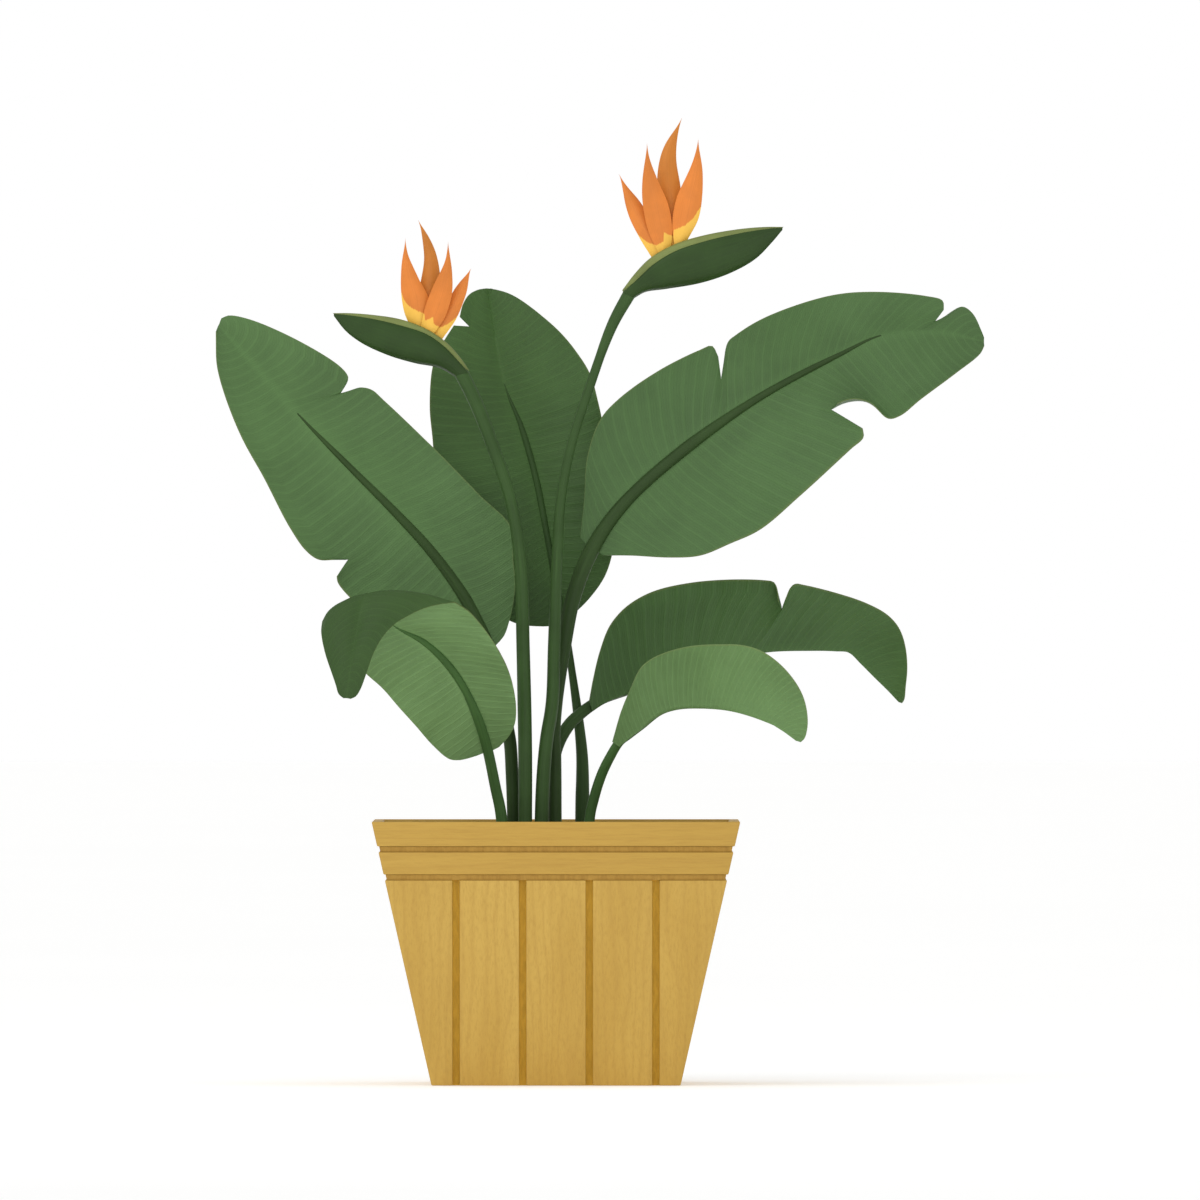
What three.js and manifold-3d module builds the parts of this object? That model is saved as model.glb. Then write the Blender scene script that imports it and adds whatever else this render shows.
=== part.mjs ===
// Potted bird of paradise: a square, tapering timber planter filled with potting soil, six leaves on
// their own stalks, and two flower stems with their beaks and sepals.
// Millimetres, +Z up. The origin is under the middle of the planter, on the surface it stands on,
// and the plant's front faces -Y. Outline points are [x, z]; points on a path are [x, y, z].

import * as THREE from 'three';
import { mergeVertices } from 'three/addons/utils/BufferGeometryUtils.js';
import Module from 'manifold-3d';

const wasm = await Module();
wasm.setup();

// Planter
const PLANTER_HEIGHT = 263;
const TOP_HALF_WIDTH = 183.3;
const FOOT_HALF_WIDTH = 124.1;
const BOARD_THICKNESS = 10;
const BOARD_GAP = 7;
const BOARD_PITCH = 66.3;
const BOARDS_PER_SIDE = 5;
const BOARD_TOP = 204.8;
const RAILS = { lower: [210.5, 232.8], top: [238.5, PLANTER_HEIGHT] };
const BOX_TOP = 252;
const BOX_WALL = 8;
const BOX_FLOOR = 12;
const FILLET_RECESS = 2;
const DRAIN_RADIUS = 6;
const DRAIN_OFFSET = 45;
const DRAIN_SIDES = 16;
const CLEARANCE = 0.3;
const CUT_MARGIN = 1;

// Soil
const SOIL_EDGE = 226;
const SOIL_MOUND = 12;
const SOIL_RELIEF = 1.6;
const SOIL_WAVES = [[9, 2], [-3, 8]];
const SOIL_GRID = 12;

// Plant
const BLADE_THICKNESS = 1.3;
const SLOT_GAP = 0.6;
const BLADE_STEPS = 28;
const BLADE_ROWS = 3;
const MARGIN_WAVE = 3;
const MARGIN_WAVES = 4;
const STALK_SIDES = 8;
const STALK_DEPTH_RATIO = 0.85;
const STALK_STEPS = 26;
const FLOWER_STEM_SIDES = 10;
const SEPAL_STEPS = 9;
const SEPAL_ROWS = 4;
const SEPAL_ROOT = 7;
const SEPAL_EDGE = 0.9;
const SEPAL_MIDDLE = 2.2;
const SEPAL_KEEL = 12;
const SEPAL_LEAN_POWER = 1.6;
const BEAK_STEPS = 13;
const LIP_SPAN = [0.03, 0.97];
const SLIT_HALF_WIDTH = { ends: 2, middle: 5.8 };
const SLIT_CUT_HEIGHT = 6;
const CURVE_SAMPLES = 40;
const WELD = 1e-4;

// Colour and roughness
const FINISHES = {
  board: [0xc49e4b, 0.6],
  box: [0xa67f2f, 0.8],
  soil: [0x4a3626, 0.95],
  midGreen: [0x547046, 0.5],
  darkGreen: [0x435b36, 0.5],
  lightGreen: [0x647f51, 0.5],
  stem: [0x394f2e, 0.5],
  darkStem: [0x2f3f25, 0.5],
  lightStem: [0x435b37, 0.5],
  lip: [0x747f49, 0.45],
  orange: [0xdf843c, 0.55],
  amber: [0xcb7f36, 0.55],
};

const part = new THREE.Group();

function addMesh(name, geometry, [color, roughness]) {
  const material = new THREE.MeshStandardMaterial({ color, roughness, metalness: 0 });
  const mesh = new THREE.Mesh(geometry, material);
  mesh.name = name;
  part.add(mesh);
}

// ---- Solids from points ----

function solidFrom(points, index) {
  const geometry = new THREE.BufferGeometry();
  const coordinates = points.flatMap((p) => [p.x, p.y, p.z]);
  geometry.setAttribute('position', new THREE.Float32BufferAttribute(coordinates, 3));
  geometry.setIndex(index);
  return geometry;
}

// Joins rings of equal count, each running anticlockwise as seen from the end of the loft.
function loft(rings) {
  const count = rings[0].length;
  const index = [];
  for (let ring = 0; ring + 1 < rings.length; ring += 1) {
    const low = ring * count;
    const high = low + count;
    for (let i = 0; i < count; i += 1) {
      const next = (i + 1) % count;
      index.push(low + i, low + next, high + next, low + i, high + next, high + i);
    }
  }
  const last = (rings.length - 1) * count;
  for (let i = 1; i + 1 < count; i += 1) {
    index.push(0, i + 1, i, last, last + i, last + i + 1);
  }
  return solidFrom(rings.flat(), index);
}

// Gives a net of four-sided cells a thickness, with every cell split alike on both faces.
function thicken(cells, thicknessAt) {
  const points = [];
  const thickness = [];
  const known = new Map();
  const indexOf = (corner) => {
    const key = corner.point.toArray().map((value) => value.toFixed(3)).join();
    if (!known.has(key)) {
      known.set(key, points.length);
      points.push(corner.point);
      thickness.push(thicknessAt(corner.row));
    }
    return known.get(key);
  };
  const triangles = [];
  for (const cell of cells) {
    const [a, b, c, d] = cell.map(indexOf);
    triangles.push([a, b, c], [a, c, d]);
  }
  const normals = points.map(() => new THREE.Vector3());
  const edges = new Map();
  for (const [a, b, c] of triangles) {
    const across = points[b].clone().sub(points[a]).cross(points[c].clone().sub(points[a]));
    [a, b, c].forEach((i) => normals[i].add(across));
    [[a, b], [b, c], [c, a]].forEach(([from, to]) => edges.set(`${from},${to}`, [from, to]));
  }
  normals.forEach((normal) => normal.normalize());
  const count = points.length;
  const offset = (side) => points.map(
    (p, i) => p.clone().addScaledVector(normals[i], (side * thickness[i]) / 2));
  const index = triangles.flatMap(([a, b, c]) => [a, b, c, count + a, count + c, count + b]);
  for (const [from, to] of edges.values()) {
    if (!edges.has(`${to},${from}`)) {
      index.push(to, from, count + from, to, count + from, count + to);
    }
  }
  return solidFrom([...offset(1), ...offset(-1)], index);
}

function toManifold(geometry) {
  const bare = geometry.clone();
  bare.deleteAttribute('normal');
  bare.deleteAttribute('uv');
  const merged = mergeVertices(bare, WELD);
  return new wasm.Manifold(new wasm.Mesh({
    numProp: 3,
    vertProperties: new Float32Array(merged.attributes.position.array),
    triVerts: new Uint32Array(merged.index.array),
  }));
}

// Cuts meshes away from a mesh or from a solid that is already joined.
function cutAway(body, cutters) {
  let solid = body.isBufferGeometry ? toManifold(body) : body;
  for (const cutter of cutters) {
    solid = solid.subtract(toManifold(cutter));
  }
  const mesh = solid.getMesh();
  const result = new THREE.BufferGeometry();
  result.setAttribute('position', new THREE.Float32BufferAttribute(mesh.vertProperties, 3));
  result.setIndex([...mesh.triVerts]);
  return result;
}

// ---- Curves ----

const smooth = (points) => new THREE.CatmullRomCurve3(points.map((p) => new THREE.Vector3(...p)));
const outline = (points) => smooth(points.map(([x, z]) => [x, 0, z]));

// How far along a curve, from 0 to 1, one of its points lies.
function shareAt(curve, pointIndex) {
  const samples = CURVE_SAMPLES * (curve.points.length - 1);
  const lengths = curve.getLengths(samples);
  return lengths[CURVE_SAMPLES * pointIndex] / lengths[samples];
}

// Reads a list of values that are spaced evenly from 0 to 1.
function along(values, share) {
  const place = THREE.MathUtils.clamp(share, 0, 1) * (values.length - 1);
  const low = Math.min(Math.floor(place), values.length - 2);
  return THREE.MathUtils.lerp(values[low], values[low + 1], place - low);
}

// A ring round a curve: half the width lies across the front view, half the depth along it.
function ringRound(curve, share, halfWidth, halfDepth, sides) {
  const centre = curve.getPointAt(share);
  const tangent = curve.getTangentAt(share);
  const across = tangent.clone().cross(new THREE.Vector3(0, 1, 0)).normalize();
  const deep = tangent.clone().cross(across);
  return Array.from({ length: sides }, (_, i) => {
    const angle = (2 * Math.PI * i) / sides;
    return centre.clone()
      .addScaledVector(across, halfWidth * Math.cos(angle))
      .addScaledVector(deep, halfDepth * Math.sin(angle));
  });
}

function taperedTube(curve, end, halfWidths, depthRatio, sides, steps, extra = 0) {
  return loft(Array.from({ length: steps + 1 }, (_, i) => {
    const share = (end * i) / steps;
    const half = along(halfWidths, i / steps);
    return ringRound(curve, share, half + extra, half * depthRatio + extra, sides);
  }));
}

// ---- Planter ----

const halfWidthAt = (z) => FOOT_HALF_WIDTH + ((TOP_HALF_WIDTH - FOOT_HALF_WIDTH) * z) / PLANTER_HEIGHT;

// A board or rail on the front. Its ends are given as functions of height, so they can follow the taper.
function plank(leftAt, rightAt, bottom, top) {
  const level = (z) => {
    const outer = -halfWidthAt(z);
    const inner = outer + BOARD_THICKNESS;
    return [[leftAt(z), outer], [rightAt(z), outer], [rightAt(z), inner], [leftAt(z), inner]]
      .map(([x, y]) => new THREE.Vector3(x, y, z));
  };
  return loft([level(bottom), level(top)]);
}

function addPlanterSide(side, quarterTurns) {
  // The front and back run full width; the left and right sides butt between them.
  const inset = quarterTurns % 2 === 0 ? 0 : BOARD_THICKNESS + CLEARANCE;
  const endAt = (z) => halfWidthAt(z) - inset;
  const place = (geometry) => geometry.rotateZ((quarterTurns * Math.PI) / 2);
  for (let i = 0; i < BOARDS_PER_SIDE; i += 1) {
    const centre = (i - (BOARDS_PER_SIDE - 1) / 2) * BOARD_PITCH;
    const half = (BOARD_PITCH - BOARD_GAP) / 2;
    const leftAt = i === 0 ? (z) => -endAt(z) : () => centre - half;
    const rightAt = i === BOARDS_PER_SIDE - 1 ? endAt : () => centre + half;
    const board = plank(leftAt, rightAt, 0, BOARD_TOP);
    addMesh(`board_${side}_${i + 1}`, place(board), FINISHES.board);
  }
  for (const [rail, [bottom, top]] of Object.entries(RAILS)) {
    const geometry = plank((z) => -endAt(z), endAt, bottom, top);
    addMesh(`${rail}_rail_${side}`, place(geometry), FINISHES.board);
  }
}

function squareRing(half, z) {
  return [[-half, -half], [half, -half], [half, half], [-half, half]]
    .map(([x, y]) => new THREE.Vector3(x, y, z));
}

function innerBox() {
  const outerHalf = (z) => halfWidthAt(z) - BOARD_THICKNESS - CLEARANCE;
  const innerHalf = (z) => outerHalf(z) - BOX_WALL;
  const brim = BOX_TOP + CUT_MARGIN;
  const shell = loft([squareRing(outerHalf(0), 0), squareRing(outerHalf(BOX_TOP), BOX_TOP)]);
  const hollow = loft([squareRing(innerHalf(BOX_FLOOR), BOX_FLOOR), squareRing(innerHalf(brim), brim)]);
  let box = toManifold(shell);
  // Fillets on the box close the level gaps between boards and rails almost out to their faces.
  for (const [bottom, top] of [[BOARD_TOP, RAILS.lower[0]], [RAILS.lower[1], RAILS.top[0]]]) {
    const levels = [bottom + CLEARANCE, top - CLEARANCE];
    const fillet = loft(levels.map((z) => squareRing(halfWidthAt(z) - FILLET_RECESS, z)));
    box = box.add(toManifold(fillet));
  }
  const drains = [];
  for (const x of [-DRAIN_OFFSET, DRAIN_OFFSET]) {
    for (const y of [-DRAIN_OFFSET, DRAIN_OFFSET]) {
      const drain = new THREE.CylinderGeometry(
        DRAIN_RADIUS, DRAIN_RADIUS, 3 * BOX_FLOOR, DRAIN_SIDES);
      drains.push(drain.rotateX(Math.PI / 2).translate(x, y, 0));
    }
  }
  return cutAway(box, [hollow, ...drains]);
}

// Soil mounded towards the plant, with a hole for each stalk and stem that stands in it.
function soil(sockets) {
  const halfAt = (z) => halfWidthAt(z) - BOARD_THICKNESS - BOX_WALL - 2 * CLEARANCE;
  const bottom = BOX_FLOOR + CLEARANCE;
  const block = new THREE.BoxGeometry(2, 2, 1, SOIL_GRID, SOIL_GRID, 1);
  const positions = block.attributes.position;
  for (let i = 0; i < positions.count; i += 1) {
    const x = positions.getX(i);
    const y = positions.getY(i);
    const mound = SOIL_MOUND * (1 - x * x) * (1 - y * y);
    const [phase, crossPhase] = SOIL_WAVES.map(([alongX, alongY]) => alongX * x + alongY * y);
    const calm = (1 - x ** 4) * (1 - y ** 4);
    const relief = SOIL_RELIEF * Math.sin(phase) * Math.cos(crossPhase) * calm;
    const z = positions.getZ(i) > 0 ? SOIL_EDGE + mound + relief : bottom;
    const half = halfAt(Math.min(z, SOIL_EDGE));
    positions.setXYZ(i, x * half, y * half, z);
  }
  return cutAway(block, sockets);
}

// ---- Leaves ----

// Each leaf has a spine, which is its stalk, midrib and tip in one path. bladeFrom and ribTo are the
// spine's points where the blade starts and the raised midrib dies out. Each half of the blade is a
// row of lobes between the splits that wind tears along the side veins: a split opens at a share of the
// blade's length and runs in to its inner point. depths are the margin's Y from the base to the tip.
const LEAVES = [
  {
    name: 'left',
    finish: FINISHES.midGreen,
    stalkFinish: FINISHES.stem,
    spine: [
      [-42.6, 2, 165], [-42.6, 2, 264], [-44.2, 2, 310], [-46, 2, 340], [-50, 2, 362], [-57, 2, 400],
      [-67, 2, 434], [-80, 1, 463], [-93, 1, 488], [-125, 0, 532], [-157, -1, 567], [-206, 0, 616],
      [-259, 4, 670], [-338, 14, 758],
    ],
    bladeFrom: 6,
    ribTo: 12,
    halfWidths: [6.7, 6.7, 6.5, 6.4, 6.8, 6.8, 5.7, 4.9, 3.9, 2.9, 0.9],
    bow: [4, 0],
    halves: [
      {
        side: 1,
        depths: [2, 12, 16, 18, 20, 24],
        lobes: [
          [[-57, 442], [-52, 448], [-47, 462], [-43, 480], [-41, 500], [-43, 524], [-45, 556], [-76, 588],
            [-121, 634], [-171, 682], [-185, 694], [-196, 696], [-204, 693]],
          [[-210, 700], [-208, 706], [-215, 716], [-256, 742], [-306, 764], [-328, 768], [-335, 765]],
        ],
        splits: [{ share: 0.74, inner: [-216, 690] }],
      },
      {
        side: -1,
        depths: [2, -12, -26, -30, -24, 4],
        lobes: [
          [[-77, 431], [-94, 425], [-126, 434], [-171, 458], [-206, 486], [-218, 501], [-219, 507]],
          [[-223, 524], [-237, 524], [-249, 532], [-266, 556], [-292, 606], [-314, 646], [-331, 688],
            [-339, 718], [-340, 742], [-340, 752]],
        ],
        splits: [{ share: 0.4, inner: [-208, 524] }],
      },
    ],
  },
  {
    name: 'back',
    finish: FINISHES.darkGreen,
    stalkFinish: FINISHES.darkStem,
    spine: [
      [26, 44, 165], [26, 44, 264], [26, 44, 324], [23.4, 45, 354], [16, 48, 410], [7, 52, 466],
      [0, 56, 498], [-11, 66, 558], [-21, 78, 608], [-35.4, 94, 658], [-52, 112, 700],
      [-69.5, 150, 796.6],
    ],
    bladeFrom: 5,
    ribTo: 10,
    halfWidths: [7.2, 7.2, 7, 5.3, 3.8, 3.4, 3.2, 3.4, 3.2, 0.9],
    bow: [-5, 0],
    halves: [
      {
        side: 1,
        depths: [50, 46, 60, 84, 112, 147],
        lobes: [
          [[13, 465], [34, 486], [49, 508], [57, 534], [61, 568], [58, 608], [50, 644], [42, 682],
            [34, 710], [19, 734], [4, 752], [-16, 770], [-36, 785], [-48, 791.5], [-60, 795.2],
            [-66, 796.4]],
        ],
        splits: [],
      },
      {
        side: -1,
        depths: [50, 46, 60, 84, 112, 147],
        lobes: [
          [[0, 458], [-14, 457], [-40, 460], [-61, 472], [-84, 498], [-106, 544], [-119, 588], [-124, 644],
            [-127, 678], [-124, 718], [-116, 738], [-103, 759]],
          [[-97, 768], [-94, 780], [-88, 790], [-80, 794.8], [-73, 796.4]],
        ],
        splits: [{ share: 0.86, inner: [-87, 758] }],
      },
    ],
  },
  {
    name: 'right',
    finish: FINISHES.midGreen,
    stalkFinish: FINISHES.stem,
    spine: [
      [-1, 2, 165], [-1, 2, 264], [-1.2, 2, 324], [-2, 2, 352], [0, 2, 380], [7.5, 3, 436],
      [17, 4, 486], [36.3, 6, 535], [66, 9, 578], [125.5, 14, 632], [204.5, 18, 687], [284.3, 20, 729.4],
      [325, 20, 748], [379, 18, 752], [428, 14, 742],
    ],
    bladeFrom: 7,
    ribTo: 12,
    halfWidths: [6.6, 6.6, 6.4, 6.4, 7.6, 7.8, 6.2, 6.1, 4, 3.2, 0.9],
    bow: [4, 0],
    halves: [
      {
        side: -1,
        depths: [6, 22, 36, 44, 40, 16],
        lobes: [
          [[24, 546], [28, 584], [31, 626], [44, 664], [64, 686], [104, 714], [144, 734], [156, 738],
            [162, 727]],
          [[168, 722], [172, 742], [180, 749], [204, 764], [244, 780], [284, 790], [324, 792],
            [369, 788], [387, 783], [388, 774]],
          [[386, 764], [396, 772], [407, 777], [417, 770], [425, 754], [428, 746]],
        ],
        splits: [{ share: 0.38, inner: [165, 704] }, { share: 0.85, inner: [379, 762] }],
      },
      {
        side: 1,
        depths: [4, -14, -26, -28, -18, 10],
        lobes: [
          [[47, 528], [74, 528], [114, 526], [144, 528], [174, 540], [204, 554], [244, 588], [294, 634],
            [307, 646], [306, 655]],
          [[281, 680], [292, 684], [304, 684], [315, 680], [332, 665], [344, 668], [364, 684], [399, 710],
            [424, 730], [428, 738]],
        ],
        splits: [{ share: 0.52, inner: [275, 674] }],
      },
    ],
  },
  // This leaf's last third is folded over forwards: its second lobes hang down in front from the fold,
  // which runs from one margin to the other through the two inner points.
  {
    name: 'front_left',
    finish: FINISHES.lightGreen,
    stalkFinish: FINISHES.lightStem,
    spine: [
      [-54.5, -24, 165], [-54.5, -24, 264], [-61, -30, 298], [-68, -40, 332], [-73, -50, 350],
      [-79.5, -62, 369], [-92.5, -80, 397], [-109.4, -98, 421], [-131.5, -118, 441.5],
      [-162.5, -142, 459], [-176, -155, 477], [-184, -166, 490], [-191, -179, 485], [-198, -193, 452],
      [-204, -201, 418], [-208, -204, 386],
    ],
    bladeFrom: 3,
    ribTo: 9,
    halfWidths: [6, 6, 5.9, 5.5, 5.3, 5.2, 4.1, 4.1, 3.2, 0.9],
    bow: [-5, 0],
    halves: [
      {
        side: 1,
        depths: [-42, -70, -110, -150, -182, -198, -203],
        lobes: [
          [[-57, 337], [-47, 348], [-41, 361], [-40, 378], [-43, 398], [-49, 417], [-60.5, 439],
            [-74.6, 459], [-86.3, 472], [-100, 481]],
          [[-100, 481], [-114, 479.3], [-128.5, 476], [-142.5, 470], [-159.4, 460], [-171, 448.3],
            [-181, 431], [-188, 411.5], [-194.6, 394], [-199, 387.6], [-204, 385.4]],
        ],
        splits: [{ share: 0.68, inner: [-142, 492] }],
      },
      {
        side: -1,
        depths: [-42, -58, -96, -140, -176, -196, -203],
        lobes: [
          [[-80, 328], [-90, 325], [-98, 323.7], [-107, 325], [-124, 339.5], [-140, 358], [-157, 377],
            [-173, 395.6], [-189, 410], [-208, 430], [-224, 450], [-232, 462]],
          [[-232, 462], [-233, 453], [-231.8, 442.5], [-228.4, 428.4], [-221.6, 408.5], [-218.4, 399],
            [-215.7, 390.2], [-211, 386]],
        ],
        splits: [{ share: 0.68, inner: [-211, 483] }],
      },
    ],
  },
  {
    name: 'right_arching',
    finish: FINISHES.darkGreen,
    stalkFinish: FINISHES.darkStem,
    spine: [
      [-3, 24, 165], [-3, 24, 264], [-4, 24, 300], [0, 25, 334], [12, 28, 357.5], [24, 33, 369.5],
      [36, 37, 378.5], [47, 40, 385], [71, 46, 393], [114, 56, 409], [159, 66, 422], [209, 80, 433],
      [256, 94, 434], [280, 101, 433], [293.5, 104, 431], [306, 108, 419.5], [319, 111, 406.5],
      [333, 114, 392.8], [346, 116, 381],
    ],
    bladeFrom: 6,
    ribTo: 13,
    halfWidths: [6, 6.2, 6.4, 6.4, 6.2, 5.4, 4.4, 3.6, 2.8, 2, 0.9],
    bow: [6, 0],
    halves: [
      {
        side: -1,
        root: [0, -1, -0.9],
        depths: [26, 20, 30, 52, 84, 112],
        lobes: [
          [[33, 382], [37, 404], [43.4, 431], [53, 456.5], [65, 472], [79, 483], [100, 493],
            [135, 500.7], [174, 503.8], [209, 503], [217.5, 501.3], [220.5, 496], [222.3, 482]],
          [[230, 485], [234.8, 495.6], [239.5, 499.5], [248.5, 498.3], [280, 490.5], [311, 480],
            [332.5, 468], [344, 454.6], [350, 437], [352, 415.5], [350, 396], [348, 385]],
        ],
        splits: [{ share: 0.5, inner: [226, 474] }],
      },
      {
        side: 1,
        root: [0, 1, 0.2],
        depths: [46, 78, 110, 136, 146, 120],
        lobes: [
          [[42, 392], [54, 416], [70, 440], [99, 456], [144, 464], [194, 468], [254, 464], [304, 452],
            [328, 434], [338, 408], [343, 388]],
        ],
        splits: [],
      },
    ],
  },
  {
    name: 'front_right',
    finish: FINISHES.lightGreen,
    stalkFinish: FINISHES.lightStem,
    spine: [
      [33.4, -10, 165], [33.4, -10, 264], [38, -14, 286], [45, -22, 308], [53, -31, 325],
      [63.5, -40, 342], [72, -45, 348.5], [84.4, -51, 357.5], [104, -58, 372], [120, -63, 376.8],
      [141, -69, 377.8], [174, -79, 374.5], [209, -89, 362.8], [226, -93, 353.3], [234, -95, 348.5],
      [243, -96, 342],
    ],
    bladeFrom: 5,
    ribTo: 12,
    halfWidths: [5.2, 5.2, 5.2, 5.2, 5, 4.4, 3.6, 2.8, 2, 0.9],
    bow: [5, 0],
    halves: [
      {
        side: -1,
        root: [0, -1, -0.9],
        depths: [-46, -84, -112, -130, -122, -98],
        lobes: [
          [[56, 342], [58.3, 350], [65, 372.6], [74.7, 396], [84.4, 415.5], [94.2, 424], [112, 432],
            [135, 437.4], [162.5, 439], [186, 438.2], [205.5, 432], [225, 417.5], [240.7, 398],
            [247.7, 382.3], [250.4, 364.8], [249.3, 353], [246.5, 346]],
        ],
        splits: [],
      },
      {
        side: 1,
        root: [0, 1, 0.2],
        depths: [-34, -26, -28, -40, -66, -93],
        lobes: [
          [[65, 349], [78, 368], [96, 390], [124, 404], [159, 409], [194, 402], [222, 384], [236, 364],
            [242, 347]],
        ],
        splits: [],
      },
    ],
  },
];

function leafParts(leaf) {
  const spine = smooth(leaf.spine);
  const base = shareAt(spine, leaf.bladeFrom);
  const ribEnd = shareAt(spine, leaf.ribTo);
  const shareOfStep = (step) => base + ((1 - base) * step) / BLADE_STEPS;
  const lastRibStep = Math.floor(((ribEnd - base) / (1 - base)) * BLADE_STEPS);
  const stalkEnd = shareOfStep(lastRibStep);
  const stalkHalf = (share) => along(leaf.halfWidths, share / stalkEnd);
  const stalk = (extra) => taperedTube(
    spine, stalkEnd, leaf.halfWidths, STALK_DEPTH_RATIO, STALK_SIDES, STALK_STEPS, extra);
  const midrib = { spine, shareOfStep, lastRibStep, stalkHalf };
  const cells = leaf.halves.flatMap((half) => halfBlade(leaf, half, midrib));
  return { stalk, blade: thicken(cells, () => BLADE_THICKNESS) };
}

// One half of a blade, as cells between the midrib and the margin. Each lobe is a patch bounded by
// its stretch of the midrib, its stretch of margin and the side veins at its two ends.
function halfBlade(leaf, half, { spine, shareOfStep, lastRibStep, stalkHalf }) {
  const rootAt = (step) => {
    const share = shareOfStep(step);
    const point = spine.getPointAt(share);
    if (step > lastRibStep) {
      return point;
    }
    const reach = stalkHalf(share) + SLOT_GAP;
    if (half.root) {
      return point.add(new THREE.Vector3(...half.root).multiplyScalar(reach));
    }
    const tangent = spine.getTangentAt(share);
    const across = tangent.cross(new THREE.Vector3(0, 1, 0)).normalize();
    return point.addScaledVector(across, -half.side * reach);
  };
  const limits = [0, ...half.splits.map((split) => Math.round(split.share * BLADE_STEPS)), BLADE_STEPS];
  const bow = half.bow ?? leaf.bow;
  const cells = [];
  half.lobes.forEach((points, lobe) => {
    const [from, to] = [limits[lobe], limits[lobe + 1]];
    const margin = outline(points);
    const veinAt = (step, split) => {
      const root = rootAt(step);
      const corner = margin.getPointAt((step - from) / (to - from));
      const inner = split ? new THREE.Vector3(split.inner[0], 0, split.inner[1]) : null;
      const flatReach = (a, b) => Math.hypot(a.x - b.x, a.z - b.z);
      const turn = inner ? Math.round((BLADE_ROWS * flatReach(root, inner))
        / (flatReach(root, inner) + flatReach(inner, corner))) : BLADE_ROWS;
      const bend = THREE.MathUtils.clamp(turn, 1, inner ? BLADE_ROWS - 1 : BLADE_ROWS);
      return (row) => {
        if (!inner) {
          return root.clone().lerp(corner, row / BLADE_ROWS);
        }
        return row <= bend ? root.clone().lerp(inner, row / bend)
          : inner.clone().lerp(corner, (row - bend) / (BLADE_ROWS - bend));
      };
    };
    const firstVein = veinAt(from, half.splits[lobe - 1]);
    const lastVein = veinAt(to, half.splits[lobe]);
    const pointAt = (step, row) => {
      const u = (step - from) / (to - from);
      const v = row / BLADE_ROWS;
      const root = rootAt(step);
      const edge = margin.getPointAt(u);
      const patch = (axis) => (1 - v) * root[axis] + v * edge[axis]
        + (1 - u) * firstVein(row)[axis] + u * lastVein(row)[axis]
        - (1 - u) * ((1 - v) * firstVein(0)[axis] + v * firstVein(BLADE_ROWS)[axis])
        - u * ((1 - v) * lastVein(0)[axis] + v * lastVein(BLADE_ROWS)[axis]);
      const share = step / BLADE_STEPS;
      const swell = 4 * v * (1 - v) * Math.sin(Math.PI * share);
      const wave = MARGIN_WAVE * v * v * Math.sin(Math.PI * share)
        * Math.sin(2 * Math.PI * MARGIN_WAVES * share + half.side);
      const depth = THREE.MathUtils.lerp(root.y, along(half.depths, share), v);
      return new THREE.Vector3(patch('x'), depth + swell * bow[0] + wave, patch('z') + swell * bow[1]);
    };
    for (let step = from; step < to; step += 1) {
      for (let row = 0; row < BLADE_ROWS; row += 1) {
        const corners = [[step, row], [step + 1, row], [step + 1, row + 1], [step, row + 1]]
          .map(([s, r]) => ({ point: pointAt(s, r), row: r }));
        cells.push(half.side > 0 ? corners : corners.reverse());
      }
    }
  });
  return cells;
}

// ---- Flowers ----

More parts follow.
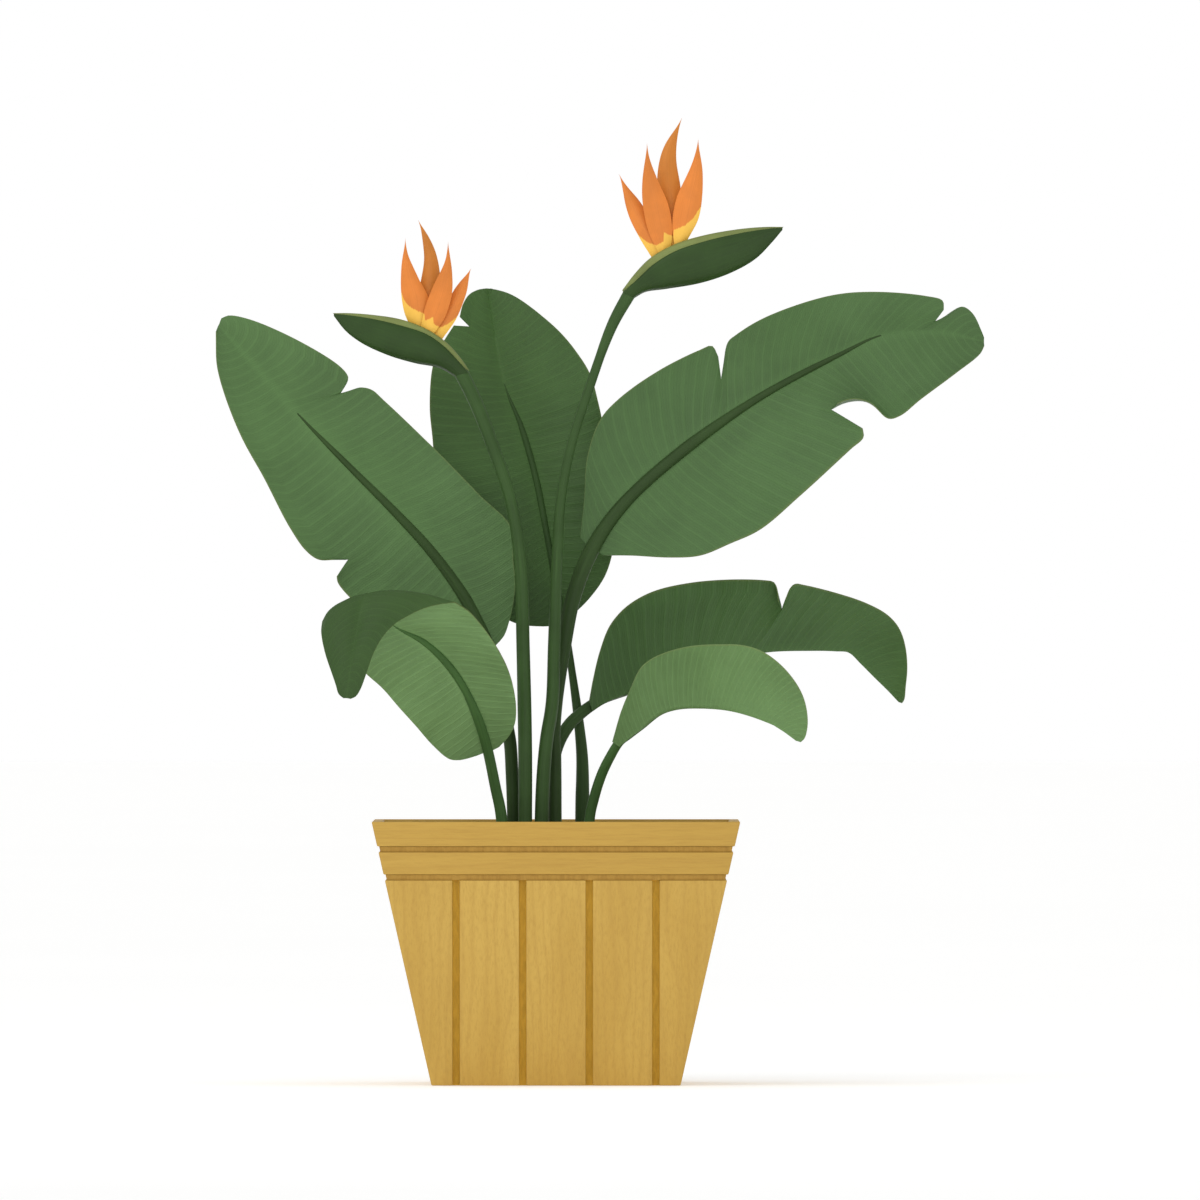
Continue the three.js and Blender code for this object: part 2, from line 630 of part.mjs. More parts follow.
// A flower's stem runs into its beak, a keeled green sheath given by its top edge, the line under its
// olive lip, and its keel, each from the tip back to the stem. Each sepal has a left and a right edge
// from its foot in the beak's slit up to its tip, and the Y of its foot and tip.
const FLOWERS = [
  {
    name: 'left',
    stem: [
      [-31, -21, 165], [-31, -21, 264], [-31, -21, 334], [-33, -22, 434], [-36, -24, 524],
      [-45.6, -25, 584], [-62, -26, 634], [-81.6, -27, 684], [-95, -28, 711],
    ],
    stemHalfWidths: [7, 7, 7, 7, 6.7, 6.6, 5.9, 6.6, 7.4],
    beakDepths: [-40, -28],
    beakHalfWidths: [1.6, 4, 7, 9.5, 11, 11.5, 11, 9.5, 7.4],
    top: [
      [-223, 770], [-206, 770], [-181, 768], [-156, 764], [-131, 755], [-111, 742], [-96, 726], [-87, 713],
    ],
    band: [
      [-222, 769], [-206, 768], [-181, 764], [-156, 758], [-131, 750], [-114, 739], [-99, 724], [-88, 711],
    ],
    keel: [[-222, 767], [-210, 752], [-194, 740], [-168, 728], [-141, 720], [-116, 715], [-102, 707]],
    slit: [0.34, 0.92],
    sepals: [
      {
        name: 'orange_1',
        finish: FINISHES.orange,
        depths: [-31.7, -40],
        left: [[-145, 753], [-152, 772], [-155, 794], [-154, 824], [-151, 846]],
        right: [[-132, 748], [-126, 766], [-127, 784], [-137, 804], [-146.5, 826], [-150.3, 845]],
      },
      {
        name: 'amber',
        finish: FINISHES.amber,
        depths: [-29.6, -16],
        left: [[-137, 748], [-140, 774], [-136, 798], [-132, 826], [-136, 850], [-139, 863]],
        right: [[-129, 746], [-121, 774], [-116, 798], [-118, 822], [-127, 848], [-137, 864]],
      },
      {
        name: 'orange_2',
        finish: FINISHES.orange,
        depths: [-34.2, -54],
        left: [[-136, 748], [-132, 772], [-124, 794], [-112, 820], [-108.6, 841]],
        right: [[-125, 744], [-111, 766], [-104, 790], [-104, 814], [-107, 842]],
      },
      {
        name: 'orange_3',
        finish: FINISHES.orange,
        depths: [-30.6, -30],
        left: [[-128, 744], [-119, 764], [-107, 785], [-95, 804], [-86, 815]],
        right: [[-117, 738], [-100, 764], [-91, 786], [-86, 804], [-84, 815]],
      },
    ],
  },
  {
    name: 'right',
    stem: [
      [-14.4, -18, 165], [-14.4, -18, 264], [-12.6, -18, 310], [-9.4, -18, 345], [-4, -19, 380],
      [-2, -20, 440], [1.2, -22, 534], [4.8, -24, 584], [15, -26, 638], [34, -28, 698], [56, -30, 758],
      [74, -31, 791],
    ],
    stemHalfWidths: [7.2, 7.2, 7, 6.6, 6.2, 5.6, 4.8, 4.8, 4.6, 6.6],
    beakDepths: [-48, -31],
    beakHalfWidths: [1.6, 4.5, 7.5, 10, 11.5, 12, 11.5, 9.5, 7.2],
    top: [[227, 856], [209, 856], [184, 854], [149, 848], [119, 839], [94, 825], [79, 810], [66, 793]],
    band: [[226, 855], [209, 854], [184, 850], [149, 842], [119, 832], [96, 818], [81, 804], [67, 791]],
    keel: [[226, 853], [215, 840], [199, 824], [174, 810], [144, 800], [109, 794], [89, 791], [78, 785]],
    slit: [0.4, 0.94],
    sepals: [
      {
        name: 'orange_1',
        finish: FINISHES.orange,
        depths: [-34.6, -30],
        left: [[99, 818], [84, 844], [73, 866], [66, 892], [62, 909]],
        right: [[110, 826], [99, 856], [86.3, 877.8], [74, 894], [63.4, 909.6]],
      },
      {
        name: 'orange_2',
        finish: FINISHES.orange,
        depths: [-37.2, -58],
        left: [[104, 825], [92, 852], [86, 884], [87, 914], [90, 940]],
        right: [[114, 829], [116, 852], [112, 878], [100.6, 904.7], [94.8, 922.5], [91.4, 940]],
      },
      {
        name: 'amber',
        finish: FINISHES.amber,
        depths: [-34, -20],
        left: [[112, 828], [105, 864], [101, 906], [108, 938], [125, 966]],
        right: [[122, 832], [128, 868], [124, 898], [120, 928], [127, 966]],
      },
      {
        name: 'orange_3',
        finish: FINISHES.orange,
        depths: [-39, -46],
        left: [[119, 832], [116, 858], [120, 884], [134, 916], [141, 944]],
        right: [[128, 836], [142, 864], [146, 888], [146, 918], [143, 944]],
      },
    ],
  },
];

const BEAK_SECTION = [[0, 0], [0.34, 0.16], [0.49, 0.44], [0.5, 0.74], [0.42, 1],
  [-0.42, 1], [-0.5, 0.74], [-0.49, 0.44], [-0.34, 0.16]];
const LIP_SECTION = [[-0.4, 0.06], [0.4, 0.06], [0.4, 0.6], [0.3, 1], [-0.3, 1], [-0.4, 0.6]];
const SLIT_SECTION = [[-1, -0.5], [1, -0.5], [1, 2], [-1, 2]];

// Sections across a beak, set between a lower and an upper line. A section's points are shares of
// the beak's width and of the height between the two lines, or of a fixed height where one is given.
function beakLoft(flower, lower, upper, section, [from, to], widthAt, fixedHeight) {
  const rings = [];
  for (let i = 0; i <= BEAK_STEPS; i += 1) {
    const share = from + ((to - from) * i) / BEAK_STEPS;
    const foot = lower.getPointAt(share);
    const rise = upper.getPointAt(share).sub(foot);
    if (fixedHeight) {
      rise.setLength(fixedHeight);
    }
    const depth = THREE.MathUtils.lerp(...flower.beakDepths, share);
    rings.push(section.map(([across, up]) => foot.clone().addScaledVector(rise, up)
      .add(new THREE.Vector3(0, depth + across * widthAt(share), 0))));
  }
  return loft(flower.name === 'left' ? rings : rings.map((ring) => ring.reverse()));
}

function flowerParts(flower) {
  const stemCurve = smooth(flower.stem);
  const [top, band, keel] = [flower.top, flower.band, flower.keel].map(outline);
  const fullWidth = (share) => 2 * along(flower.beakHalfWidths, share);
  const [slitFrom, slitTo] = flower.slit;
  const slitHalf = (share) => THREE.MathUtils.lerp(
    SLIT_HALF_WIDTH.ends,
    SLIT_HALF_WIDTH.middle,
    Math.sin((Math.PI * (share - slitFrom)) / (slitTo - slitFrom)),
  );
  const slit = beakLoft(
    flower, band, top, SLIT_SECTION, flower.slit, slitHalf, SLIT_CUT_HEIGHT);
  const sheath = beakLoft(flower, keel, band, BEAK_SECTION, [0, 1], fullWidth);
  const lip = beakLoft(flower, band, top, LIP_SECTION, LIP_SPAN, fullWidth)
    .translate(0, 0, CLEARANCE);
  const stem = (extra) => taperedTube(
    stemCurve, 1, flower.stemHalfWidths, 1, FLOWER_STEM_SIDES, STALK_STEPS, extra);
  // The stem's end is trimmed to meet the beak, just clear of it.
  const setBack = stemCurve.getTangentAt(1).multiplyScalar(-CLEARANCE);
  const trim = sheath.clone().translate(setBack.x, setBack.y, setBack.z);
  return {
    stem: cutAway(stem(0), [trim, sheath]),
    socket: stem(CLEARANCE),
    sheath: cutAway(sheath, [slit]),
    lip: cutAway(lip, [slit]),
  };
}

// A sepal is keeled along its middle and thin at its edges.
function sepalSolid(sepal, sheath) {
  const rooted = ([foot, ...rest]) => outline([[foot[0], foot[1] - SEPAL_ROOT], foot, ...rest]);
  const [left, right] = [sepal.left, sepal.right].map(rooted);
  const pointAt = (step, row) => {
    const share = step / SEPAL_STEPS;
    const side = row / SEPAL_ROWS;
    const point = left.getPointAt(share).lerp(right.getPointAt(share), side);
    const keel = SEPAL_KEEL * side * (1 - side) * Math.sin(Math.PI * share);
    point.y = THREE.MathUtils.lerp(...sepal.depths, share ** SEPAL_LEAN_POWER) - keel;
    return { point, row };
  };
  const cells = [];
  for (let step = 0; step < SEPAL_STEPS; step += 1) {
    for (let row = 0; row < SEPAL_ROWS; row += 1) {
      const corners = [[step, row], [step, row + 1], [step + 1, row + 1], [step + 1, row]];
      cells.push(corners.map(([s, r]) => pointAt(s, r)));
    }
  }
  const middle = SEPAL_ROWS / 2;
  const blade = thicken(
    cells, (row) => SEPAL_MIDDLE + (SEPAL_EDGE - SEPAL_MIDDLE) * Math.abs(row / middle - 1));
  // The foot is trimmed to stand on the floor of the beak's slit.
  return cutAway(blade, [sheath.clone().translate(0, 0, CLEARANCE)]);
}

// ---- Assembly ----

['front', 'right', 'back', 'left'].forEach(addPlanterSide);
addMesh('planter_inner_box', innerBox(), FINISHES.box);

const sockets = [];
for (const leaf of LEAVES) {
  const { stalk, blade } = leafParts(leaf);
  addMesh(`leaf_${leaf.name}_blade`, blade, leaf.finish);
  addMesh(`leaf_${leaf.name}_stalk`, stalk(0), leaf.stalkFinish);
  sockets.push(stalk(CLEARANCE));
}
for (const flower of FLOWERS) {
  const { stem, socket, sheath, lip } = flowerParts(flower);
  addMesh(`flower_${flower.name}_stem`, stem, FINISHES.stem);
  addMesh(`flower_${flower.name}_beak`, sheath, FINISHES.stem);
  addMesh(`flower_${flower.name}_lip`, lip, FINISHES.lip);
  sockets.push(socket);
  for (const sepal of flower.sepals) {
    addMesh(`flower_${flower.name}_sepal_${sepal.name}`, sepalSolid(sepal, sheath), sepal.finish);
  }
}
addMesh('potting_soil', soil(sockets), FINISHES.soil);

export default part;
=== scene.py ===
# Potted bird of paradise: the finished look of the plant and its planter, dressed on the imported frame.
# Lengths are in metres, except that the shapes of the soil and the plant are given in millimetres and
# set down times MM. The front faces -Y, and the origin is under the middle of the planter.

import bisect
import math
import random

import bpy
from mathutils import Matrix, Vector


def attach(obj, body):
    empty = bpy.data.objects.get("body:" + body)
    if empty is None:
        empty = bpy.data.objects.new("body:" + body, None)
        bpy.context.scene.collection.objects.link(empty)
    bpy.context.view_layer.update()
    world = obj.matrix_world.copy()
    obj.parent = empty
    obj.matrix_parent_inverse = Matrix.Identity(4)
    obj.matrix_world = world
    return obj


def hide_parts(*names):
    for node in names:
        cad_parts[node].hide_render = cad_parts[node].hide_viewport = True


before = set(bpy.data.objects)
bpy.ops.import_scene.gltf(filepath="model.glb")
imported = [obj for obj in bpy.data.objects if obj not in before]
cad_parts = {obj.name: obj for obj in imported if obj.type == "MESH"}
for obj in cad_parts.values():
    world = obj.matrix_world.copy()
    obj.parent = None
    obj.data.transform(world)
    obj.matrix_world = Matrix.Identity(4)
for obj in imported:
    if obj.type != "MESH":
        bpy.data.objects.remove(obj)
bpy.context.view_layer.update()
bpy.ops.object.select_all(action="DESELECT")


# ----------------------------------------------------------
# The camera. A very long lens straight in front, so that nothing near it grows, at the height of the
# middle of the picture.

PICTURE_MIDDLE = (0.0438, 0.4835)
PICTURE_WIDTH = 1.2
LENS = 900
SENSOR = 36
FARTHEST_SEEN = 200

bpy.ops.object.camera_add(
    location=(PICTURE_MIDDLE[0], -PICTURE_WIDTH * LENS / SENSOR, PICTURE_MIDDLE[1]),
    rotation=(math.radians(90), 0, 0))
camera = bpy.context.object
camera.data.lens = LENS
camera.data.sensor_width = SENSOR
camera.data.clip_end = FARTHEST_SEEN
bpy.context.scene.camera = camera
bpy.context.scene.view_settings.view_transform = "Standard"


# ----------------------------------------------------------
# The studio: a pale floor that runs out to a white background, a soft sky, a broad lamp high on the
# left that gives the leaves their modelling, and a weak one in front that opens up the shadows.

WHITE = (1.0, 1.0, 1.0, 1.0)
FLOOR_SIZE = 120
FLOOR_DROP = 0.0002
FLOOR_GLOW = 0.22
FLOOR_TONES = ((249, 249, 248), (253, 253, 252))
FLOOR_CLOUDS = 0.7
SKY_STRENGTH = 0.8
# Place, size and power of the broad lamp high on the left and of the weak one low in front.
LAMPS = (((-1.6, -2.2, 2.6), 2.2, 22), ((0.4, -3.6, 0.5), 2.6, 16))
LAMP_AIM = Vector((0, 0, 0.5))


def linear(red, green, blue):
    """A colour given as it shows on screen, each part from 11 to 255, as the shader's linear colour."""
    return tuple(((part / 255 + 0.055) / 1.055) ** 2.4 for part in (red, green, blue)) + (1.0,)


class Value:
    """A shader socket that takes part in Python expressions, which add its Math nodes."""

    def __init__(self, finish, socket):
        self.finish = finish
        self.socket = socket

    def math(self, operation, *inputs):
        return self.finish.node("ShaderNodeMath", {"operation": operation}, dict(enumerate(inputs)))

    def __add__(self, other):
        return self.math("ADD", self, other)

    def __sub__(self, other):
        return self.math("SUBTRACT", self, other)

    def __rsub__(self, other):
        return self.math("SUBTRACT", other, self)

    def __mul__(self, other):
        return self.math("MULTIPLY", self, other)

    def __truediv__(self, other):
        return self.math("DIVIDE", self, other)

    def __pow__(self, other):
        return self.math("POWER", self, other)

    def __lt__(self, other):
        return self.math("LESS_THAN", self, other)

    __radd__ = __add__
    __rmul__ = __mul__

    def sine(self):
        return self.math("SINE", self)

    def size(self):
        return self.math("ABSOLUTE", self)

    def between(self, low, high):
        """0 at low and 1 at high, rising smoothly."""
        return self.finish.node(
            "ShaderNodeMapRange", {"interpolation_type": "SMOOTHSTEP"},
            {"Value": self, "From Min": low, "From Max": high})


class Finish:
    """A material under construction. node adds any node, and the rest are the few used again and again."""

    def __init__(self, name, **shader_values):
        self.material = bpy.data.materials.new(name)
        self.material.use_nodes = True
        self.tree = self.material.node_tree
        self.shader = self.tree.nodes["Principled BSDF"]
        for socket, value in shader_values.items():
            self.paint(socket.replace("_", " "), value)

    def feed(self, socket, value):
        if isinstance(value, Value):
            self.tree.links.new(value.socket, socket)
        else:
            socket.default_value = value

    def paint(self, socket, value):
        self.feed(self.shader.inputs[socket], value)

    def node(self, kind, settings=None, inputs=None, output=0):
        made = self.tree.nodes.new(kind)
        for name, value in (settings or {}).items():
            setattr(made, name, value)
        for key, value in (inputs or {}).items():
            self.feed(made.inputs[key], value)
        return Value(self, made.outputs[output])

    def place(self, scale=(1, 1, 1), turn=(0, 0, 0)):
        """Object coordinates in metres, stretched and turned."""
        spot = self.node("ShaderNodeTexCoord", output="Object")
        return self.node("ShaderNodeMapping", {}, {"Vector": spot, "Rotation": turn, "Scale": scale})

    def noise(self, where, scale, detail=3, roughness=0.55):
        return self.node("ShaderNodeTexNoise", {}, {
            "Vector": where, "Scale": scale, "Detail": detail, "Roughness": roughness})

    def mix(self, share, first, second):
        """A Mix node keeps its colours in inputs 6 and 7 and gives the mixed one in output 2."""
        return self.node("ShaderNodeMix", {"data_type": "RGBA"}, {0: share, 6: first, 7: second}, 2)

    def patches(self, pattern, first, second):
        """Two colours in soft-edged patches."""
        return self.mix(pattern.between(0.3, 0.7), first, second)

    def relief(self, height, depth, strength):
        """Raises the surface by height, from 0 to 1, times depth in metres."""
        self.paint("Normal", self.node(
            "ShaderNodeBump", {}, {"Height": height, "Distance": depth, "Strength": strength}))


floor_finish = Finish(
    "studio_floor", Roughness=0.9, Emission_Color=WHITE, Emission_Strength=FLOOR_GLOW)
clouds = floor_finish.noise(floor_finish.place(), FLOOR_CLOUDS)
floor_finish.paint("Base Color", floor_finish.mix(clouds, *(linear(*tone) for tone in FLOOR_TONES)))

bpy.ops.mesh.primitive_plane_add(size=FLOOR_SIZE, location=(0, 0, -FLOOR_DROP))
floor = bpy.context.object
floor.name = "studio_floor"
floor.data.materials.append(floor_finish.material)
bpy.ops.object.transform_apply(location=True, rotation=True, scale=True)

world = bpy.data.worlds.new("soft_sky")
bpy.context.scene.world = world
world.use_nodes = True
sky = world.node_tree.nodes["Background"]
seen = world.node_tree.nodes.new("ShaderNodeLightPath")
strength = world.node_tree.nodes.new("ShaderNodeMapRange")
strength.inputs["To Min"].default_value = SKY_STRENGTH
strength.inputs["To Max"].default_value = 1.0
world.node_tree.links.new(seen.outputs["Is Camera Ray"], strength.inputs["Value"])
world.node_tree.links.new(strength.outputs["Result"], sky.inputs["Strength"])
sky.inputs["Color"].default_value = WHITE

for place, size, power in LAMPS:
    bpy.ops.object.light_add(type="AREA", location=place)
    lamp = bpy.context.object
    lamp.data.size = size
    lamp.data.energy = power
    lamp.rotation_euler = (LAMP_AIM - Vector(place)).to_track_quat("-Z", "Y").to_euler()


# ----------------------------------------------------------
# The planter: five upright boards a side under two level rails, in golden-stained softwood, fixed to
# the box inside. Each is sawn to the taper of the planter, with its arrises taken off by hand.

BOARDS_PER_SIDE = 5
RAIL_NAMES = ("lower_rail", "top_rail")
QUARTER = math.radians(90)
# For each side, the turns that bring the grain upright and level, with the rings across the face.
GRAIN_TURNS = {
    "front": ((0, 0, 0), (0, QUARTER, 0)),
    "right": ((0, 0, QUARTER), (QUARTER, 0, QUARTER)),
    "back": ((0, 0, 0), (0, QUARTER, 0)),
    "left": ((0, 0, QUARTER), (QUARTER, 0, QUARTER)),
}
# How far on in the pattern each board, rail and side is cut, so that no two pieces are alike.
BOARD_CUT, BOARD_SIDE_CUT = 0.37, 1.9
RAIL_START, RAIL_CUT, RAIL_SIDE_CUT = 5.3, 0.83, 2.3
MERGE = 1e-5
FLAT_WITHIN = math.radians(1)
ARRIS = 0.0011
ARRIS_STEPS = 3
ARRIS_SHARPEST = math.radians(40)
SMOOTH_WITHIN = math.radians(35)

STAIN_BODY, STAIN_PALE = (187, 148, 58), (201, 164, 74)
STAIN_RINGS, STAIN_FIBRES = (178, 138, 54), (165, 125, 46)
# How fast the tone, the rings' sine and the fibres run across the grain, and how much slower along it.
TONE_SCALE, RING_SCALE, FIBRE_SCALE = 12, 620, 620
ALONG_GRAIN = 0.055
RING_WANDER_SCALE, RING_WANDER = 22, 0.05


def pick(*pieces):
    """Selects these pieces and no others, and makes the first the active one."""
    bpy.ops.object.select_all(action="DESELECT")
    for piece in pieces:
        piece.select_set(True)
    bpy.context.view_layer.objects.active = pieces[0]


def apply_modifier(piece, modifier):
    bpy.context.view_layer.objects.active = piece
    bpy.ops.object.modifier_apply(modifier=modifier.name)


def worked_copy(node, name):
    """A copy of a CAD node with its loose triangles merged back into flat faces."""
    piece = bpy.data.objects.new(name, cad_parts[node].data.copy())
    bpy.context.scene.collection.objects.link(piece)
    pick(piece)
    piece.data.materials.clear()
    bpy.ops.object.mode_set(mode="EDIT")
    bpy.ops.mesh.select_all(action="SELECT")
    bpy.ops.mesh.remove_doubles(threshold=MERGE)
    bpy.ops.mesh.dissolve_limited(angle_limit=FLAT_WITHIN)
    bpy.ops.object.mode_set(mode="OBJECT")
    return piece


def round_edges(piece):
    bevel = piece.modifiers.new("arris", "BEVEL")
    bevel.width = ARRIS
    bevel.segments = ARRIS_STEPS
    bevel.limit_method = "ANGLE"
    bevel.angle_limit = ARRIS_SHARPEST
    apply_modifier(piece, bevel)
    bpy.ops.object.shade_smooth_by_angle(angle=SMOOTH_WITHIN)


def axes(vector):
    """The three parts of a vector, as values."""
    parts = vector.finish.node("ShaderNodeSeparateXYZ", {}, {"Vector": vector}).socket.node.outputs
    return [Value(vector.finish, part) for part in parts]


def stained_board(name, grain_turn, cut):
    """Golden stain over softwood. The grain runs along the board, and each board has its own tone."""
    finish = Finish(name)
    turned = finish.place(turn=grain_turn)
    moved = finish.node("ShaderNodeVectorMath", {"operation": "ADD"}, {0: turned, 1: (cut, cut * 3, 0)})
    stretched = finish.node(
        "ShaderNodeVectorMath", {"operation": "MULTIPLY"}, {0: moved, 1: (1.0, 1.0, ALONG_GRAIN)})
    wander = finish.noise(stretched, RING_WANDER_SCALE, detail=2)
    rings = ((axes(stretched)[0] + wander * RING_WANDER) * RING_SCALE).sine()
    growth = rings * 0.5 + 0.5
    fibre = finish.noise(stretched, FIBRE_SCALE, detail=4, roughness=0.65)
    tone = finish.noise(stretched, TONE_SCALE)
    body = finish.patches(tone, linear(*STAIN_BODY), linear(*STAIN_PALE))
    ringed = finish.mix(growth ** 3 * 0.32, body, linear(*STAIN_RINGS))
    lined = finish.mix(fibre.between(0.42, 0.72) * 0.35, ringed, linear(*STAIN_FIBRES))
    finish.paint("Base Color", lined)
    finish.paint("Roughness", fibre * 0.2 + 0.46)
    finish.relief(fibre * 0.7 + growth * 0.3, depth=0.00035, strength=0.7)
    return finish.material


for side_index, (side, (upright, level)) in enumerate(GRAIN_TURNS.items()):
    for board in range(1, BOARDS_PER_SIDE + 1):
        node = f"board_{side}_{board}"
        plank = worked_copy(node, f"{side}_board_{board}")
        round_edges(plank)
        cut = BOARD_CUT * board + BOARD_SIDE_CUT * side_index
        plank.data.materials.append(stained_board(f"stained_{side}_board_{board}", upright, cut))
        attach(plank, "root")
        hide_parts(node)
    for rail_index, rail in enumerate(RAIL_NAMES):
        node = f"{rail}_{side}"
        band = worked_copy(node, f"{side}_{rail}")
        round_edges(band)
        cut = RAIL_START + RAIL_CUT * rail_index + RAIL_SIDE_CUT * side_index
        band.data.materials.append(stained_board(f"stained_{side}_{rail}", level, cut))
        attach(band, "root")
        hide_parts(node)


# ----------------------------------------------------------
# The inner box: plywood walls and floor that the boards are fixed to, with fillets behind the level
# gaps and drainage holes. It holds the soil. Its outside shows only in the shade of the gaps, and it is
# painted brighter than its inside to lift that shade: painted light.

BOX_TAPER = 0.2251
# The distances from the middle, carried down to the foot, at which the outside fades in and out.
BOX_OUTSIDE = ((0.1095, 0.1105), (0.1165, 0.1175))
BOARD_TOPS = (0.205, 0.207)
PLY_INSIDE = ((160, 120, 42), (176, 136, 54))
# Painted light: the outside's colours are brighter than the inside's to lift the shade that falls in the
# gaps.
PLY_OUTSIDE_PAINTED_LIGHT = ((216, 171, 53), (234, 189, 62))
PLY_SCALE = 300
PLY_STRETCH = (1, 1, 0.12)

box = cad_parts["planter_inner_box"]
box_finish = Finish("stained_ply_painted_gap_light", Roughness=0.75)
ply_grain = box_finish.noise(box_finish.place(scale=PLY_STRETCH), PLY_SCALE)
inner_ply, outer_ply_painted_light = (
    box_finish.patches(ply_grain, *(linear(*tone) for tone in tones))
    for tones in (PLY_INSIDE, PLY_OUTSIDE_PAINTED_LIGHT))
box_x, box_y, box_z = axes(box_finish.place())
from_middle = box_x.math("MAXIMUM", box_x.size(), box_y.size()) - box_z * BOX_TAPER
fade_in, fade_out = BOX_OUTSIDE
# Behind the boards and below their tops, the painted lighter outside takes over from the inside's stain.
behind_boards = (
    from_middle.between(*fade_in) * (1 - from_middle.between(*fade_out)) * (1 - box_z.between(*BOARD_TOPS)))
box_finish.paint("Base Color", box_finish.mix(behind_boards, inner_ply, outer_ply_painted_light))
box_finish.relief(ply_grain, depth=0.0003, strength=0.6)
box.data.materials.clear()
box.data.materials.append(box_finish.material)


# ----------------------------------------------------------
# The potting soil: dark peat mounded towards the plant, lumpy on top, with crumbs of bark and white
# grit lying in it.

MM = 0.001
PLANTER_HEIGHT = 263
TOP_HALF_WIDTH = 183.3
FOOT_HALF_WIDTH = 124.1
WALLS = 18.6
SOIL_EDGE = 226
SOIL_MOUND = 12
SOIL_RELIEF = 1.6
SOIL_LUMPS = 0.9
SOIL_BOTTOM = 12.3
SOIL_CELLS = 110
SOIL_DRAFT = 150
SMOOTH_SOIL = math.radians(40)
CRUMBS = 420
CRUMB_SEED = 41
CRUMB_SPREAD = 0.97
CRUMB_TILT = 0.4
CRUMB_SPIN = 6.28
# The least and the most of how far a crumb's corners stand out, of its size, of how much of that size
# is left, and of its length and height to its width.
CRUMB_CORNERS, CRUMB_SIZES, CRUMB_LEFT = (0.7, 1.15), (1.1, 3.4), (0.6, 1)
CRUMB_LENGTHS, CRUMB_HEIGHTS = (0.8, 1.9), (0.4, 0.8)
PEAT, DRY_PEAT, BARK, GRIT = (52, 38, 27), (82, 62, 44), (112, 88, 64), (206, 200, 186)
GRAIN_SCALE, CLOD_SCALE, GRIT_SCALE = 420, 60, 130
GRIT_REACH = 0.1


def soil_half_width(height):
    taper = (TOP_HALF_WIDTH - FOOT_HALF_WIDTH) / PLANTER_HEIGHT
    return FOOT_HALF_WIDTH + taper * height - WALLS


def soil_height(x, y):
    """Height of the soil where x and y run from -1 to 1 between the walls."""
    mound = SOIL_MOUND * (1 - x * x) * (1 - y * y)
    calm = (1 - x ** 4) * (1 - y ** 4)
    relief = SOIL_RELIEF * math.sin(9 * x + 2 * y) * math.cos(8 * y - 3 * x)
    lumps = SOIL_LUMPS * math.sin(31 * x + 11 * math.sin(7 * y)) * math.sin(27 * y - 9 * math.cos(6 * x))
    return SOIL_EDGE + mound + (relief + lumps) * calm


def shaped_grid(name, columns, rows, place):
    """A grid whose points, at (u, v) from 0 to 1 each way, are set down by the rule place(u, v)."""
    bpy.ops.object.select_all(action="DESELECT")
    bpy.ops.mesh.primitive_grid_add(
        x_subdivisions=columns, y_subdivisions=rows, size=1, location=(0.5, 0.5, 0))
    piece = bpy.context.object
    bpy.ops.object.transform_apply(location=True, rotation=True, scale=True)
    piece.name = name
    piece.data.name = name
    for vertex in piece.data.vertices:
        vertex.co = place(round(vertex.co.x * columns) / columns, round(vertex.co.y * rows) / rows)
    return piece


def give_thickness(piece, thickness, offset=0.0, other_side=0):
    """Turns a sheet into a solid. other_side is how many slots later the far side's material is."""
    wall = piece.modifiers.new("thickness", "SOLIDIFY")
    wall.thickness = thickness
    wall.offset = offset
    wall.material_offset = other_side
    wall.use_even_offset = False
    apply_modifier(piece, wall)


def soil_point(u, v):
    x, y = 2 * u - 1, 2 * v - 1
    half = soil_half_width(SOIL_EDGE)
    return Vector((x * half, y * half, soil_height(x, y))) * MM


soil = shaped_grid("soil_bed", SOIL_CELLS, SOIL_CELLS, soil_point)
give_thickness(soil, SOIL_DRAFT * MM, offset=-1)
foot_share = soil_half_width(SOIL_BOTTOM) / soil_half_width(SOIL_EDGE)
for vertex in soil.data.vertices:
    if vertex.co.z < SOIL_EDGE * MM - SOIL_DRAFT * MM / 2:
        vertex.co.x *= foot_share
        vertex.co.y *= foot_share
        vertex.co.z = SOIL_BOTTOM * MM

dice = random.Random(CRUMB_SEED)
bpy.ops.object.select_all(action="DESELECT")
bpy.ops.mesh.primitive_ico_sphere_add(subdivisions=1, radius=1)
crumb_model = bpy.context.object
for vertex in crumb_model.data.vertices:
    vertex.co *= dice.uniform(*CRUMB_CORNERS)
crumbs = []
for index in range(CRUMBS):
    crumb = bpy.data.objects.new(f"crumb_{index}", crumb_model.data.copy())
    bpy.context.scene.collection.objects.link(crumb)
    x, y = dice.uniform(-CRUMB_SPREAD, CRUMB_SPREAD), dice.uniform(-CRUMB_SPREAD, CRUMB_SPREAD)
    half = soil_half_width(SOIL_EDGE)
    size = dice.uniform(*CRUMB_SIZES) * dice.uniform(*CRUMB_LEFT)
    crumb.location = Vector((x * half, y * half, soil_height(x, y) + size / 4)) * MM
    long, tall = dice.uniform(*CRUMB_LENGTHS), dice.uniform(*CRUMB_HEIGHTS)
    crumb.scale = Vector((long, 1, tall)) * size * MM
    tilt, lean = dice.uniform(-CRUMB_TILT, CRUMB_TILT), dice.uniform(-CRUMB_TILT, CRUMB_TILT)
    crumb.rotation_euler = (tilt, lean, dice.uniform(0, CRUMB_SPIN))
    crumbs.append(crumb)
bpy.data.objects.remove(crumb_model)
pick(*crumbs)
bpy.ops.object.transform_apply(location=True, rotation=True, scale=True)
pick(soil, *crumbs)
bpy.ops.object.join()
bpy.ops.object.shade_smooth_by_angle(angle=SMOOTH_SOIL)

